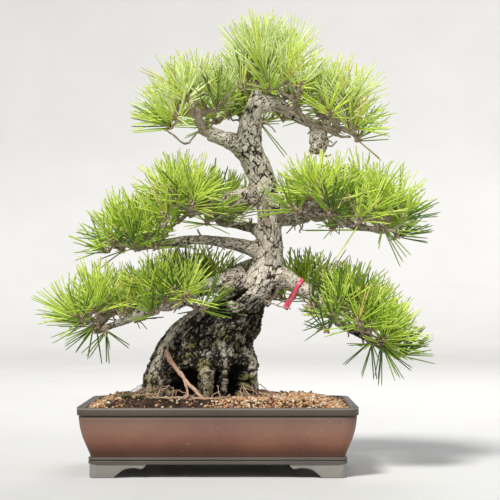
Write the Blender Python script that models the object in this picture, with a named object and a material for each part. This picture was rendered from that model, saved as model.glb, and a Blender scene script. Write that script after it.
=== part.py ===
"""Japanese black pine bonsai in its rectangular pot, as closed solids in metres with +Z up.

The pot's centre is the centre of the working frame: x runs right, y runs away from the
viewer and z runs up from the surface that the pot stands on. An empty moves the whole
plant at the end, so that the footprint's centre lies on the origin.
"""
import math
import random

import bmesh
import bpy
import numpy as np
from mathutils import Matrix, Vector
from mathutils.geometry import delaunay_2d_cdt

# Gap that neighbouring solids keep
GAP = 0.0003
# A leaning limb is swollen this much in its level sections when it cuts its neighbour
CUT_GAP = 0.0005

# Pot: outer sizes, rim band, belt moulding and cavity
POT_WIDTH = 0.400
POT_DEPTH = 0.290
POT_HEIGHT = 0.100
POT_CORNER = 0.024
# The pot's corners tighten by this share of the inset, down to the least radius
CORNER_LOSS = 0.6
LEAST_CORNER = 0.006
CORNER_STEPS = 4
RIM_BAND = 0.012
RIM_LIP = 0.009
RIM_EDGE = 0.001
BELT_INSET = 0.0156
BELT_HEIGHT = 0.0095
BELT_STEP = 0.0036
# The belt's two rolls with a groove between them: depth below its face, share of its height
BELT_ROWS = ((0.0008, 0.0), (0.0, 0.20), (0.0012, 0.54), (0.0, 0.72), (0.0008, 1.0))
FOOT_HEIGHT = 0.0195
WALL_THICKNESS = 0.010
FLOOR_HEIGHT = 0.031
# The rim band and the wall meet with small steps of these sizes
WALL_STEP = 0.0006
RIM_STEP = (0.0004, 0.0016)
# Inside: inset below the lip, at half depth and at the floor beyond the outside's, drop of half depth
CAVITY_UNDERCUT = 0.0035
CAVITY_MIDDLE = 0.0095
CAVITY_FOOT = 0.0074
CAVITY_SHARE = 1.4
CAVITY_DROP = 0.010
# Outer wall between belt and rim: share of the height, share of the inset at the belt
WALL_CURVE = ((0.0, 1.0), (0.18, 0.78), (0.45, 0.42), (0.72, 0.20), (0.97, 0.12))

# Feet: a bracket at each corner with a cloud-shaped underside
FOOT_LENGTH_X = 0.080
FOOT_LENGTH_Y = 0.062
FOOT_THICKNESS = 0.016
FOOT_CORNER = 0.010
FOOT_INSET = 0.0178
# The inner side turns the corner over this length
FOOT_INNER_EASE = 0.003
# Underside of a foot: share of its length from the corner, share of its height
FOOT_ARCH = ((1.0, 0.86), (0.93, 0.64), (0.80, 0.72), (0.64, 0.64), (0.53, 0.36), (0.43, 0.0))

# Soil: a mound that is level under the trunk and the surface roots, with heaps of grit round them
SOIL_EDGE = 0.0965
# Space between the soil's edge and the lip, and the wall points left out just under the soil's edge
SOIL_CLEARANCE = 0.0012
SAME_PLACE = 0.00001
SOIL_SHOULDER = 0.002
GROUND = 0.109
MOUND_X = -0.012
MOUND_HALF_X = 0.142
MOUND_HALF_Y = 0.092
# Where the mound's fall begins and ends, as shares of the way from its top to the lip
MOUND_FALL = (-0.15, 1.05)
# Points added on each long and each short side of the soil's edge
EDGE_POINTS = (5, 3)
# Heaps: step between places in a row, between rows as a share of it, shift, depth of the hollows,
# and the least share of that depth
HEAP_STEP = 0.0105
HEAP_ROW = 0.866
HEAP_SHIFT = 0.0014
HEAP_DEPTH = 0.0032
HEAP_LEAST = 0.7
# Space from the heaps to the soil's edge, and from a surface root's ends to the first heap
HEAP_MARGIN = 0.005
ROOT_REST = 0.006
# Level ground under the trunk: centre x, centre y, half width, half depth, and the share that needs no points
FOOT_GROUND = (-0.022, -0.004, 0.097, 0.083)
FOOT_BARE = 0.84
# How far the heaps and hollows stand over the level ground
HEAP_RISE = 0.0009

# Trunk: height, centre x, centre y, half width, half depth
TRUNK_STATIONS = (
    (0.100, -0.0274, 0.000, 0.0850, 0.0640),
    (0.140, -0.0254, 0.000, 0.0842, 0.0600),
    (0.163, -0.0216, 0.001, 0.0780, 0.0560),
    (0.189, -0.0194, 0.002, 0.0672, 0.0500),
    (0.211, -0.0066, 0.002, 0.0656, 0.0470),
    (0.228, 0.0078, 0.002, 0.0554, 0.0440),
    (0.243, 0.0230, 0.001, 0.0450, 0.0400),
    (0.2665, 0.0523, 0.000, 0.0336, 0.0310),
    (0.299, 0.0704, -0.002, 0.0241, 0.0245),
    (0.345, 0.0742, -0.004, 0.0188, 0.0200),
    (0.410, 0.0704, -0.002, 0.0188, 0.0185),
    (0.446, 0.0584, 0.000, 0.0216, 0.0190),
    (0.480, 0.0447, 0.002, 0.0206, 0.0185),
    (0.515, 0.0465, 0.000, 0.0165, 0.0155),
    (0.545, 0.0525, -0.004, 0.0112, 0.0108),
    (0.562, 0.0560, -0.005, 0.0080, 0.0080),
)
TRUNK_SIDES = 18
TRUNK_RINGS = 19
TRUNK_LOBES = 6
LOBE_AT_GROUND = 0.17
LOBE_AT_TOP = 0.035
LOBE_FADE = 0.055
# Shares of the lobed wave and of the wave that flattens two sides
LOBE_WAVES = (0.7, 0.3)

# Root legs of the flare: ground x, ground y, height where it leaves the trunk, radius
ROOT_LEGS = (
    (-0.1040, -0.014, 0.172, 0.0095),
    (-0.0690, -0.052, 0.160, 0.0080),
    (-0.0195, -0.070, 0.158, 0.0074),
    (0.0083, -0.068, 0.158, 0.0052),
    (0.0510, -0.022, 0.176, 0.0062),
    (0.0500, 0.040, 0.170, 0.0085),
    (0.0020, 0.066, 0.162, 0.0090),
    (-0.0620, 0.056, 0.164, 0.0090),
)
LEG_SIDES = 6
LEG_BULGE = 0.006
LEG_STEP = 0.025
# A leg starts this many radii inside the trunk, thinner by this share, and ends this far under the soil
LEG_SUNK = 1.6
LEG_TAPER = 0.8
LEG_BURIED = 0.006
# Straight young root that slants down the front of the flare
SLANT_ROOT = (
    (-0.072, -0.040, 0.166),
    (-0.054, -0.058, 0.143),
    (-0.030, -0.074, 0.118),
    (-0.018, -0.081, 0.104),
)
SLANT_ROOT_RADIUS = 0.0036
SLANT_ROOT_STEP = 0.030

# Roots that lie on the soil: x and y of each point, and the height above the soil at its inner end
SURFACE_ROOTS = (
    ((-0.147, -0.020), (-0.136, -0.018), (-0.122, -0.015), 0.0150),
    ((-0.149, -0.040), (-0.132, -0.047), (-0.116, -0.050), 0.0),
    ((-0.052, -0.088), (-0.066, -0.083), (-0.080, -0.078), 0.0),
    ((-0.104, -0.082), (-0.088, -0.088), (-0.070, -0.0885), 0.0),
)
SURFACE_ROOT_RADIUS = 0.0021
SURFACE_ROOT_TAPER = 0.7
SURFACE_ROOT_SIDES = 5
SURFACE_ROOT_STEP = 0.008

# Boughs: name, parent, base radius, tip radius, points from the parent's axis to the tip
BOUGHS = (
    ("low_left", "trunk", 0.0150, 0.0046,
     ((0.036, 0.000, 0.281), (-0.020, -0.018, 0.270), (-0.060, -0.032, 0.250), (-0.102, -0.042, 0.238),
      (-0.136, -0.050, 0.222), (-0.168, -0.054, 0.210))),
    ("low_left_front", "low_left", 0.0062, 0.0042,
     ((-0.020, -0.018, 0.270), (-0.034, -0.044, 0.268), (-0.046, -0.062, 0.260))),
    ("low_back_left", "trunk", 0.0100, 0.0055,
     ((0.068, -0.001, 0.304), (0.036, 0.042, 0.301), (-0.014, 0.070, 0.285))),
    ("low_right", "trunk", 0.0132, 0.0048,
     ((0.068, -0.001, 0.292), (0.108, -0.012, 0.278), (0.142, -0.026, 0.253), (0.176, -0.044, 0.218),
      (0.214, -0.054, 0.197))),
    ("low_back_right", "trunk", 0.0095, 0.0055,
     ((0.068, 0.000, 0.288), (0.094, 0.040, 0.287), (0.116, 0.070, 0.276))),
    ("mid_left", "trunk", 0.0105, 0.0046,
     ((0.072, -0.003, 0.322), (0.023, -0.012, 0.334), (-0.029, -0.024, 0.3405), (-0.076, -0.034, 0.335),
      (-0.112, -0.040, 0.329))),
    ("mid_left_upper", "trunk", 0.0130, 0.0092,
     ((0.069, -0.002, 0.410), (0.010, -0.014, 0.401), (-0.018, -0.024, 0.389))),
    ("mid_back_left", "trunk", 0.0090, 0.0052,
     ((0.073, -0.003, 0.352), (0.040, 0.038, 0.362), (0.012, 0.066, 0.368))),
    ("mid_right", "trunk", 0.0108, 0.0048,
     ((0.073, -0.003, 0.388), (0.119, -0.010, 0.384), (0.163, -0.022, 0.380), (0.196, -0.032, 0.362),
      (0.228, -0.038, 0.356))),
    ("mid_right_front", "mid_right", 0.0060, 0.0040,
     ((0.119, -0.010, 0.384), (0.128, -0.034, 0.390), (0.140, -0.052, 0.396))),
    ("mid_back_right", "trunk", 0.0088, 0.0050,
     ((0.073, -0.003, 0.372), (0.104, 0.038, 0.370), (0.130, 0.066, 0.374))),
    ("top_left", "trunk", 0.0135, 0.0108,
     ((0.048, 0.002, 0.470), (0.020, -0.004, 0.487), (-0.015, -0.008, 0.500))),
    ("top_back", "trunk", 0.0080, 0.0048,
     ((0.046, 0.001, 0.500), (0.042, 0.036, 0.506), (0.036, 0.062, 0.514))),
    ("top_right", "trunk", 0.0088, 0.0070,
     ((0.052, -0.003, 0.545), (0.086, -0.010, 0.542), (0.122, -0.016, 0.521), (0.165, -0.022, 0.505))),
)
BOUGH_SIDES = 7
BOUGH_STEP = 0.017

# Dead stub that hangs under the right apex bough: centre line and radii
STUB_POINTS = ((0.1460, -0.020, 0.5040), (0.1475, -0.021, 0.4860), (0.1460, -0.022, 0.4720))
STUB_RADII = (0.0120, 0.0155, 0.0125)
STUB_SIDES = 8

# Blank red tag: a loop of strip hung round the low right bough
TAG_BOUGH = "low_right"
TAG_PLACE = 0.30
TAG_WIDTH = 0.0072
TAG_THICKNESS = 0.0010
TAG_LENGTH = 0.036
TAG_SLACK = 0.0012
TAG_END_RADIUS = 0.0045
TAG_ARC_STEPS = 6

# Foliage masses: name, bough that carries it, centre and half sizes of the layer of shoots,
# fall per metre to the right, number of shoots
MASSES = (
    ("low_left_outer", "low_left", (-0.166, -0.024, 0.236), (0.064, 0.076, 0.026), 0.06, 14),
    ("low_left_inner", "low_left_front", (-0.074, -0.046, 0.256), (0.050, 0.056, 0.024), 0.12, 10),
    ("low_back_left", "low_back_left", (-0.048, 0.096, 0.266), (0.094, 0.056, 0.026), 0.05, 11),
    ("low_right", "low_right", (0.207, -0.026, 0.224), (0.067, 0.078, 0.036), -0.50, 16),
    ("low_back_right", "low_back_right", (0.150, 0.096, 0.260), (0.080, 0.056, 0.028), -0.15, 10),
    ("mid_left_outer", "mid_left", (-0.123, -0.024, 0.346), (0.058, 0.070, 0.024), 0.12, 12),
    ("mid_left_inner", "mid_left_upper", (-0.052, -0.034, 0.394), (0.044, 0.062, 0.026), 0.18, 10),
    ("mid_back_left", "mid_back_left", (-0.014, 0.092, 0.386), (0.080, 0.052, 0.028), 0.05, 9),
    ("mid_right_outer", "mid_right", (0.222, -0.020, 0.386), (0.062, 0.068, 0.030), -0.22, 13),
    ("mid_right_inner", "mid_right_front", (0.150, -0.050, 0.406), (0.042, 0.048, 0.022), 0.10, 8),
    ("mid_back_right", "mid_back_right", (0.164, 0.092, 0.386), (0.078, 0.052, 0.026), -0.08, 9),
    ("top_left", "top_left", (-0.036, -0.014, 0.545), (0.060, 0.062, 0.032), 0.36, 13),
    ("top_back", "top_back", (0.036, 0.086, 0.540), (0.078, 0.042, 0.026), 0.0, 8),
    ("apex", "trunk", (0.072, -0.013, 0.582), (0.061, 0.060, 0.050), 0.0, 16),
    ("top_right", "top_right", (0.170, -0.016, 0.536), (0.038, 0.056, 0.034), -0.40, 11),
)
STEM_RADIUS = 0.0038
STEM_TIP_RADIUS = 0.0022
STEM_SIDES = 4
STEM_STEP = 0.020
STEM_LEAD = 0.012
# The stem ends this share of the layer's half height under its middle
STEM_END = 0.2
TWIG_RADIUS = 0.0021
TWIG_TIP_RADIUS = 0.0014
TWIG_SAG = 0.12
TWIG_STRAIGHT = 0.030
# Shares along the stem's last part and a twig's outer half where later twigs may join
LAST_JOINT = 0.7
TWIG_JOINT = 0.55
SHOOT_RISE = 1.20
SHOOT_DROOP = 0.80
LEAN_POWER = 1.5
SHOOT_JITTER = 0.008
SHOOT_TRIES = 10
SHOOT_SHIFT = 0.0025
# The layer is domed: its height at the middle and its fall to the edge, as shares of its half height
DOME_TOP = 0.9
DOME_FALL = 1.6
CORE_RADIUS = 0.0034
NEEDLE_LENGTH = 0.060
NEEDLE_LIFT = 0.85
NEEDLE_LOWEST = -0.30
NEEDLE_SLANT = 0.50
NEEDLE_TRIES = 6
NEEDLE_JITTER = 0.28
NEEDLE_SHORTEST = 0.62
NEEDLE_SPREAD = (0.88, 1.08)
NEEDLE_TRIM = 0.9
# Share of the core's radius that a needle has at its root
NEEDLE_FOOT = 0.6
# Needles that start this many core radii from each other's ends belong to one core
SAME_CORE = 1.6
NEEDLE_CLEARANCE = 0.0002
CELL_MARGIN = 0.0012
LIMB_MARGIN = 0.0016
# Places where spikes are tested, and where limbs, stub and tag are sampled for that
SPIKE_TESTS = 6
LIMB_SAMPLES = 5
STUB_SAMPLES = 8
TAG_SAMPLES = 7
GOLDEN_ANGLE = math.pi * (3 - math.sqrt(5))

# Colour, roughness and metallic value of each material
MATERIALS = {
    "pot_clay": ((0.115, 0.055, 0.038), 0.62, 0.0),
    "foot_clay": ((0.060, 0.045, 0.042), 0.60, 0.0),
    "soil_grit": ((0.300, 0.170, 0.100), 0.95, 0.0),
    "old_bark": ((0.105, 0.085, 0.060), 0.95, 0.0),
    "pale_bark": ((0.340, 0.280, 0.220), 0.92, 0.0),
    "pine_needle": ((0.190, 0.360, 0.060), 0.55, 0.0),
    "red_plastic": ((0.620, 0.045, 0.095), 0.45, 0.0),
}


def clear_scene():
    for obj in list(bpy.data.objects):
        bpy.data.objects.remove(obj)


def material(name):
    found = bpy.data.materials.get(name)
    if found:
        return found
    colour, roughness, metallic = MATERIALS[name]
    made = bpy.data.materials.new(name)
    made.use_nodes = True
    shader = made.node_tree.nodes["Principled BSDF"]
    shader.inputs["Base Color"].default_value = (*colour, 1.0)
    shader.inputs["Roughness"].default_value = roughness
    shader.inputs["Metallic"].default_value = metallic
    made.diffuse_color = (*colour, 1.0)
    return made


def add_object(name, bm, material_name, collection=None):
    bmesh.ops.recalc_face_normals(bm, faces=bm.faces)
    mesh = bpy.data.meshes.new(name)
    bm.to_mesh(mesh)
    bm.free()
    mesh.materials.append(material(material_name))
    obj = bpy.data.objects.new(name, mesh)
    (collection or bpy.context.scene.collection).objects.link(obj)
    return obj


def loft(rings):
    """Closed bmesh through rings of equally many points, with a face over each end."""
    bm = bmesh.new()
    made = [[bm.verts.new(point) for point in ring] for ring in rings]
    count = len(made[0])
    for lower, upper in zip(made, made[1:]):
        for k in range(count):
            after = (k + 1) % count
            bm.faces.new((lower[k], lower[after], upper[after], upper[k]))
    bm.faces.new(list(reversed(made[0])))
    bm.faces.new(made[-1])
    return bm


def rounded_rectangle(half_x, half_y, corner, z, side_points=(0, 0)):
    """Ring round a rectangle with round corners, with points added on its long and short sides."""
    arcs = []
    for quarter in range(4):
        side_x = (1, -1, -1, 1)[quarter]
        side_y = (1, 1, -1, -1)[quarter]
        middle = Vector((side_x * (half_x - corner), side_y * (half_y - corner), z))
        angles = [math.pi / 2 * (quarter + step / CORNER_STEPS) for step in range(CORNER_STEPS + 1)]
        arcs.append([middle + Vector((math.cos(angle), math.sin(angle), 0)) * corner for angle in angles])
    ring = []
    for quarter, arc in enumerate(arcs):
        after = arcs[(quarter + 1) % 4][0]
        count = side_points[quarter % 2]
        ring += arc + [arc[-1].lerp(after, (k + 1) / (count + 1)) for k in range(count)]
    return ring


def pot_ring(inset, z, side_points=(0, 0)):
    corner = max(POT_CORNER - CORNER_LOSS * inset, LEAST_CORNER)
    return rounded_rectangle(POT_WIDTH / 2 - inset, POT_DEPTH / 2 - inset, corner, z, side_points)


def cavity_profile():
    """Inset and height of the pot's inside, from the lip down to the floor."""
    return [
        (RIM_LIP + RIM_EDGE, POT_HEIGHT - RIM_EDGE),
        (RIM_LIP + CAVITY_UNDERCUT, POT_HEIGHT - CAVITY_SHARE * RIM_BAND),
        (RIM_LIP + CAVITY_MIDDLE, 0.5 * (POT_HEIGHT + FLOOR_HEIGHT) - CAVITY_DROP),
        (BELT_INSET + WALL_THICKNESS + CAVITY_FOOT, FLOOR_HEIGHT),
    ]


def make_pot():
    belt_top = FOOT_HEIGHT + BELT_HEIGHT
    wall_top = POT_HEIGHT - RIM_BAND
    wall_foot = BELT_INSET + BELT_STEP
    outside = [(BELT_INSET + depth, FOOT_HEIGHT + share * BELT_HEIGHT) for depth, share in BELT_ROWS]
    for share, inset in WALL_CURVE:
        outside.append((inset * wall_foot, belt_top + WALL_STEP + share * (wall_top - belt_top)))
    rim = [
        (RIM_STEP[0], wall_top + WALL_STEP),
        (0.0, wall_top + RIM_STEP[1]),
        (0.0, POT_HEIGHT - RIM_EDGE),
        (RIM_EDGE, POT_HEIGHT),
        (RIM_LIP, POT_HEIGHT),
    ]
    rings = [pot_ring(inset, z) for inset, z in outside + rim + cavity_profile()]
    return add_object("pot_body", loft(rings), "pot_clay")


def foot_sections():
    """Sections of one bracket in its own corner frame, x and y running along its two wings."""
    top = FOOT_HEIGHT - GAP

    def section(outer, inner, underside):
        corners = ((outer, underside), (outer, top), (inner, top), (inner, underside))
        return [Vector((*place, z)) for place, z in corners]

    sections = []
    for share, lift in FOOT_ARCH:
        along = share * FOOT_LENGTH_X
        sections.append(section((along, 0), (along, FOOT_THICKNESS), lift * FOOT_HEIGHT))
    for step, shift in ((0.0, FOOT_INNER_EASE), (0.5, 0.0), (1.0, -FOOT_INNER_EASE)):
        angle = math.pi / 2 * step
        outer = (FOOT_CORNER * (1 - math.sin(angle)), FOOT_CORNER * (1 - math.cos(angle)))
        inner = (FOOT_THICKNESS + max(shift, 0.0), FOOT_THICKNESS + max(-shift, 0.0))
        sections.append(section(outer, inner, 0.0))
    for share, lift in reversed(FOOT_ARCH):
        along = share * FOOT_LENGTH_Y
        sections.append(section((0, along), (FOOT_THICKNESS, along), lift * FOOT_HEIGHT))
    return sections


def make_feet():
    corner_x = POT_WIDTH / 2 - FOOT_INSET
    corner_y = POT_DEPTH / 2 - FOOT_INSET
    feet = []
    for name, side_x, side_y in (("foot_front_left", -1, -1), ("foot_front_right", 1, -1),
                                 ("foot_back_right", 1, 1), ("foot_back_left", -1, 1)):
        rings = [[Vector((-side_x * point.x, -side_y * point.y, point.z)) for point in ring]
                 for ring in foot_sections()]
        foot = add_object(name, loft(rings), "foot_clay")
        foot.location = (side_x * corner_x, side_y * corner_y, 0)
        feet.append(foot)
    return feet


def soil_rings():
    cavity = [(inset + CUT_GAP, z) for inset, z in cavity_profile() if z < SOIL_EDGE - SOIL_SHOULDER]
    rings = [pot_ring(inset, z, EDGE_POINTS) for inset, z in reversed(cavity)]
    rings[0] = [Vector((p.x, p.y, FLOOR_HEIGHT + GAP)) for p in rings[0]]
    rings.append(pot_ring(RIM_LIP + RIM_EDGE + SOIL_CLEARANCE, SOIL_EDGE, EDGE_POINTS))
    return rings


def mound_height(x, y):
    """Height of the ground, level on the mound and lower toward the pot's lip."""
    outside = math.hypot(max(abs(x - MOUND_X) - MOUND_HALF_X, 0), max(abs(y) - MOUND_HALF_Y, 0))
    room = min(POT_WIDTH / 2 - RIM_LIP - abs(x), POT_DEPTH / 2 - RIM_LIP - abs(y))
    low, high = MOUND_FALL
    share = min(max((outside / (outside + room) - low) / (high - low), 0), 1)
    return GROUND - (GROUND - SOIL_EDGE) * share * share * (3 - 2 * share)


def foot_reach(x, y):
    """Distance from the middle of the trunk's level ground, 1 at its edge."""
    centre_x, centre_y, half_x, half_y = FOOT_GROUND
    return math.hypot((x - centre_x) / half_x, (y - centre_y) / half_y)


def on_level_ground(x, y):
    """Whether the trunk or a surface root lies on this place."""
    for *route, _ in SURFACE_ROOTS:
        start, middle, end = [Vector(point) for point in route]
        if (Vector((x, y)) - middle).length < (end - start).length / 2 + ROOT_REST:
            return True
    return foot_reach(x, y) < 1


def heap_places():
    """Points of the soil's top in staggered rows, each third one a heap and the others sunk."""
    half_x = POT_WIDTH / 2 - RIM_LIP - HEAP_MARGIN
    half_y = POT_DEPTH / 2 - RIM_LIP - HEAP_MARGIN
    rows = round(half_y / (HEAP_STEP * HEAP_ROW))
    columns = round(half_x / HEAP_STEP)
    rng = random.Random("heaps")
    places = []
    for row in range(-rows, rows + 1):
        for column in range(-columns, columns + 1):
            x = (column + 0.5 * (row % 2)) * HEAP_STEP + rng.uniform(-HEAP_SHIFT, HEAP_SHIFT)
            y = row * HEAP_STEP * HEAP_ROW + rng.uniform(-HEAP_SHIFT, HEAP_SHIFT)
            depth = HEAP_DEPTH * rng.uniform(HEAP_LEAST, 1)
            if (column - row // 2 - row) % 3 == 0:
                depth = 0.0
            rise = 0.0 if on_level_ground(x, y) else HEAP_RISE - depth
            beyond = math.hypot(max(abs(x) - half_x + POT_CORNER, 0), max(abs(y) - half_y + POT_CORNER, 0))
            if beyond < POT_CORNER:
                places.append((x, y, mound_height(x, y) + rise))
    return places


def make_soil():
    rings = soil_rings()
    bm = loft(rings)
    bm.verts.ensure_lookup_table()
    bm.faces.ensure_lookup_table()
    edge = list(bm.verts[-len(rings[-1]):])
    bm.faces.remove(bm.faces[-1])
    top = [place for place in heap_places() if foot_reach(place[0], place[1]) > FOOT_BARE]
    places = [Vector((vert.co.x, vert.co.y)) for vert in edge] + [Vector(place[:2]) for place in top]
    corners = edge + [bm.verts.new(place) for place in top]
    border = [(k, (k + 1) % len(edge)) for k in range(len(edge))]
    _, _, triangles, sources, _, _ = delaunay_2d_cdt(places, border, [], 1, SAME_PLACE)
    for triangle in triangles:
        bm.faces.new([corners[sources[k][0]] for k in triangle])
    return add_object("soil", bm, "soil_grit")


def smooth_row(rows, value):
    """Row of a table at a value of its first column, by cubic Hermite steps."""
    rows = np.array(rows)
    keys = rows[:, 0]
    value = min(max(value, keys[0]), keys[-1])
    i = int(min(max(np.searchsorted(keys, value) - 1, 0), len(keys) - 2))
    slopes = np.gradient(rows, keys, axis=0)
    width = keys[i + 1] - keys[i]
    t = (value - keys[i]) / width
    return (rows[i] * (1 + 2 * t) * (1 - t) ** 2 + slopes[i] * width * t * (1 - t) ** 2
            + rows[i + 1] * t * t * (3 - 2 * t) + slopes[i + 1] * width * t * t * (t - 1))


def trunk_ring(z, swell=0.0):
    _, centre_x, centre_y, half_x, half_y = smooth_row(TRUNK_STATIONS, z)
    depth = LOBE_AT_TOP + (LOBE_AT_GROUND - LOBE_AT_TOP) * math.exp(-max(z - GROUND, 0) / LOBE_FADE)
    ring = []
    for k in range(TRUNK_SIDES):
        angle = 2 * math.pi * k / TRUNK_SIDES
        lobe = LOBE_WAVES[0] * math.cos(TRUNK_LOBES * angle) + LOBE_WAVES[1] * math.cos(2 * angle)
        reach = 1 + depth * (lobe - 1) * 0.5
        ring.append(Vector((centre_x + (half_x * reach + swell) * math.cos(angle),
                            centre_y + (half_y * reach + swell) * math.sin(angle), z)))
    return ring


def trunk_loft(swell=0.0):
    low = TRUNK_STATIONS[0][0]
    high = TRUNK_STATIONS[-1][0] + swell
    rings = [trunk_ring(low + (high - low) * i / (TRUNK_RINGS - 1), swell) for i in range(TRUNK_RINGS)]
    return loft(rings)


def smooth_curve(points, step):
    """Points along a Catmull-Rom curve, about a step apart."""
    points = [Vector(point) for point in points]
    ends = [points[0] * 2 - points[1]] + points + [points[-1] * 2 - points[-2]]
    curve = []
    for a, b, c, d in zip(ends, ends[1:], ends[2:], ends[3:]):
        count = max(1, round((c - b).length / step))
        for i in range(count):
            t = i / count
            curve.append(0.5 * ((2 * b) + (c - a) * t + (2 * a - 5 * b + 4 * c - d) * t * t
                                + (3 * b - 3 * c + d - a) * t ** 3))
    curve.append(points[-1])
    return curve


def tube(points, radii, sides):
    """Closed bmesh of a tapering tube whose rings turn with its centre line."""
    rings = []
    for i, point in enumerate(points):
        ahead = points[min(i + 1, len(points) - 1)] - points[max(i - 1, 0)]
        turn = ahead.to_track_quat("Z", "Y")
        rings.append([point + turn @ Vector((math.cos(2 * math.pi * k / sides) * radii[i],
                                             math.sin(2 * math.pi * k / sides) * radii[i], 0))
                      for k in range(sides)])
    return loft(rings)


def tapered(start, end, count):
    return [start + (end - start) * i / max(count - 1, 1) for i in range(count)]


def join_or_cut(target, tools, operation, solver="EXACT"):
    """Applies one Boolean of a collection of tools to the target and removes the tools."""
    group = bpy.data.collections.new("tools")
    for tool in tools:
        for owner in list(tool.users_collection):
            owner.objects.unlink(tool)
        group.objects.link(tool)
    step = target.modifiers.new("join", "BOOLEAN")
    step.operation = operation
    step.operand_type = "COLLECTION"
    step.collection = group
    step.solver = solver
    evaluated = target.evaluated_get(bpy.context.evaluated_depsgraph_get())
    result = bpy.data.meshes.new_from_object(evaluated)
    target.modifiers.remove(step)
    target.data = result
    for tool in tools:
        bpy.data.objects.remove(tool)
    bpy.data.collections.remove(group)


def keep_largest_shell(obj):
    """Drops loose scraps and sealed hollows that a Boolean leaves beside the main shell."""
    bm = bmesh.new()
    bm.from_mesh(obj.data)
    unseen = set(bm.faces)
    shells = []
    while unseen:
        shell = {unseen.pop()}
        front = list(shell)
        while front:
            for edge in front.pop().edges:
                for face in edge.link_faces:
                    if face in unseen:
                        unseen.discard(face)
                        shell.add(face)
                        front.append(face)
        shells.append(shell)
    shells.sort(key=len)
    for shell in shells[:-1]:
        bmesh.ops.delete(bm, geom=list(shell), context="FACES")
    bm.to_mesh(obj.data)
    bm.free()


def make_trunk():
    trunk = add_object("trunk", trunk_loft(), "old_bark")
    legs = []
    for ground_x, ground_y, top, radius in ROOT_LEGS:
        _, centre_x, centre_y, half_x, half_y = smooth_row(TRUNK_STATIONS, top)
        outward = Vector((ground_x - centre_x, ground_y - centre_y, 0)).normalized()
        reach = 1 / math.hypot(outward.x / half_x, outward.y / half_y)
        start = Vector((centre_x, centre_y, top)) + outward * (reach - LEG_SUNK * radius)
        foot = Vector((ground_x, ground_y, GROUND - LEG_BURIED))
        middle = start.lerp(foot, 0.5) + outward * LEG_BULGE
        line = smooth_curve((start, middle, foot), LEG_STEP)
        radii = tapered(radius * LEG_TAPER, radius, len(line))
        legs.append(add_object("leg", tube(line, radii, LEG_SIDES), "old_bark"))
    line = smooth_curve(SLANT_ROOT, SLANT_ROOT_STEP)
    legs.append(add_object("leg", tube(line, [SLANT_ROOT_RADIUS] * len(line), LEG_SIDES), "old_bark"))
    join_or_cut(trunk, legs, "UNION")
    below = bmesh.new()
    bmesh.ops.create_cube(below, size=1.0)
    bmesh.ops.translate(below, verts=below.verts, vec=(0, 0, GROUND + GAP - 0.5))
    join_or_cut(trunk, [add_object("below", below, "old_bark")], "DIFFERENCE")
    keep_largest_shell(trunk)
    return trunk


def make_surface_roots():
    roots = []
    for number, (*route, rise) in enumerate(SURFACE_ROOTS, 1):
        line = smooth_curve([(*place, 0.0) for place in route], SURFACE_ROOT_STEP)
        radii = tapered(SURFACE_ROOT_RADIUS * SURFACE_ROOT_TAPER, SURFACE_ROOT_RADIUS, len(line))
        for i, point in enumerate(line):
            point.z = GROUND + GAP + radii[i] + rise * (i / (len(line) - 1)) ** 3
        root = add_object(f"surface_root_{number}", tube(line, radii, SURFACE_ROOT_SIDES), "pale_bark")
        swollen = add_object("cutter", trunk_loft(CUT_GAP), "old_bark")
        join_or_cut(root, [swollen], "DIFFERENCE")
        keep_largest_shell(root)
        roots.append(root)
    return roots


def bough_lines():
    lines = {}
    for name, _, base, tip, points in BOUGHS:
        line = smooth_curve(points, BOUGH_STEP)
        lines[name] = (line, tapered(base, tip, len(line)))
    return lines


def make_boughs(lines):
    boughs = []
    for name, parent, *_ in BOUGHS:
        line, radii = lines[name]
        bough = add_object(f"bough_{name}", tube(line, radii, BOUGH_SIDES), "pale_bark")
        if parent == "trunk":
            swollen = trunk_loft(CUT_GAP)
        else:
            parent_line, parent_radii = lines[parent]
            swollen = tube(parent_line, [radius + CUT_GAP for radius in parent_radii], BOUGH_SIDES)
        join_or_cut(bough, [add_object("cutter", swollen, "old_bark")], "DIFFERENCE")
        keep_largest_shell(bough)
        boughs.append(bough)
    return boughs


def make_stub(lines):
    core = tube([Vector(point) for point in STUB_POINTS], STUB_RADII, STUB_SIDES)
    stub = add_object("dead_stub", core, "pale_bark")
    line, radii = lines["top_right"]
    swollen = [radius + CUT_GAP for radius in radii]
    join_or_cut(stub, [add_object("cutter", tube(line, swollen, BOUGH_SIDES), "pale_bark")], "DIFFERENCE")
    keep_largest_shell(stub)
    return stub


def tag_frame(lines):
    """Centre, axis and downward direction of the tag's loop on its bough."""
    line, radii = lines[TAG_BOUGH]
    place = TAG_PLACE * (len(line) - 1)
    i = int(place)
    centre = line[i].lerp(line[i + 1], place - i)
    radius = radii[i]
    axis = (line[i + 1] - line[i]).normalized()
    down = (Vector((0, 0, -1)) + axis * axis.z).normalized()
    return centre, radius, axis, down


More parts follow.
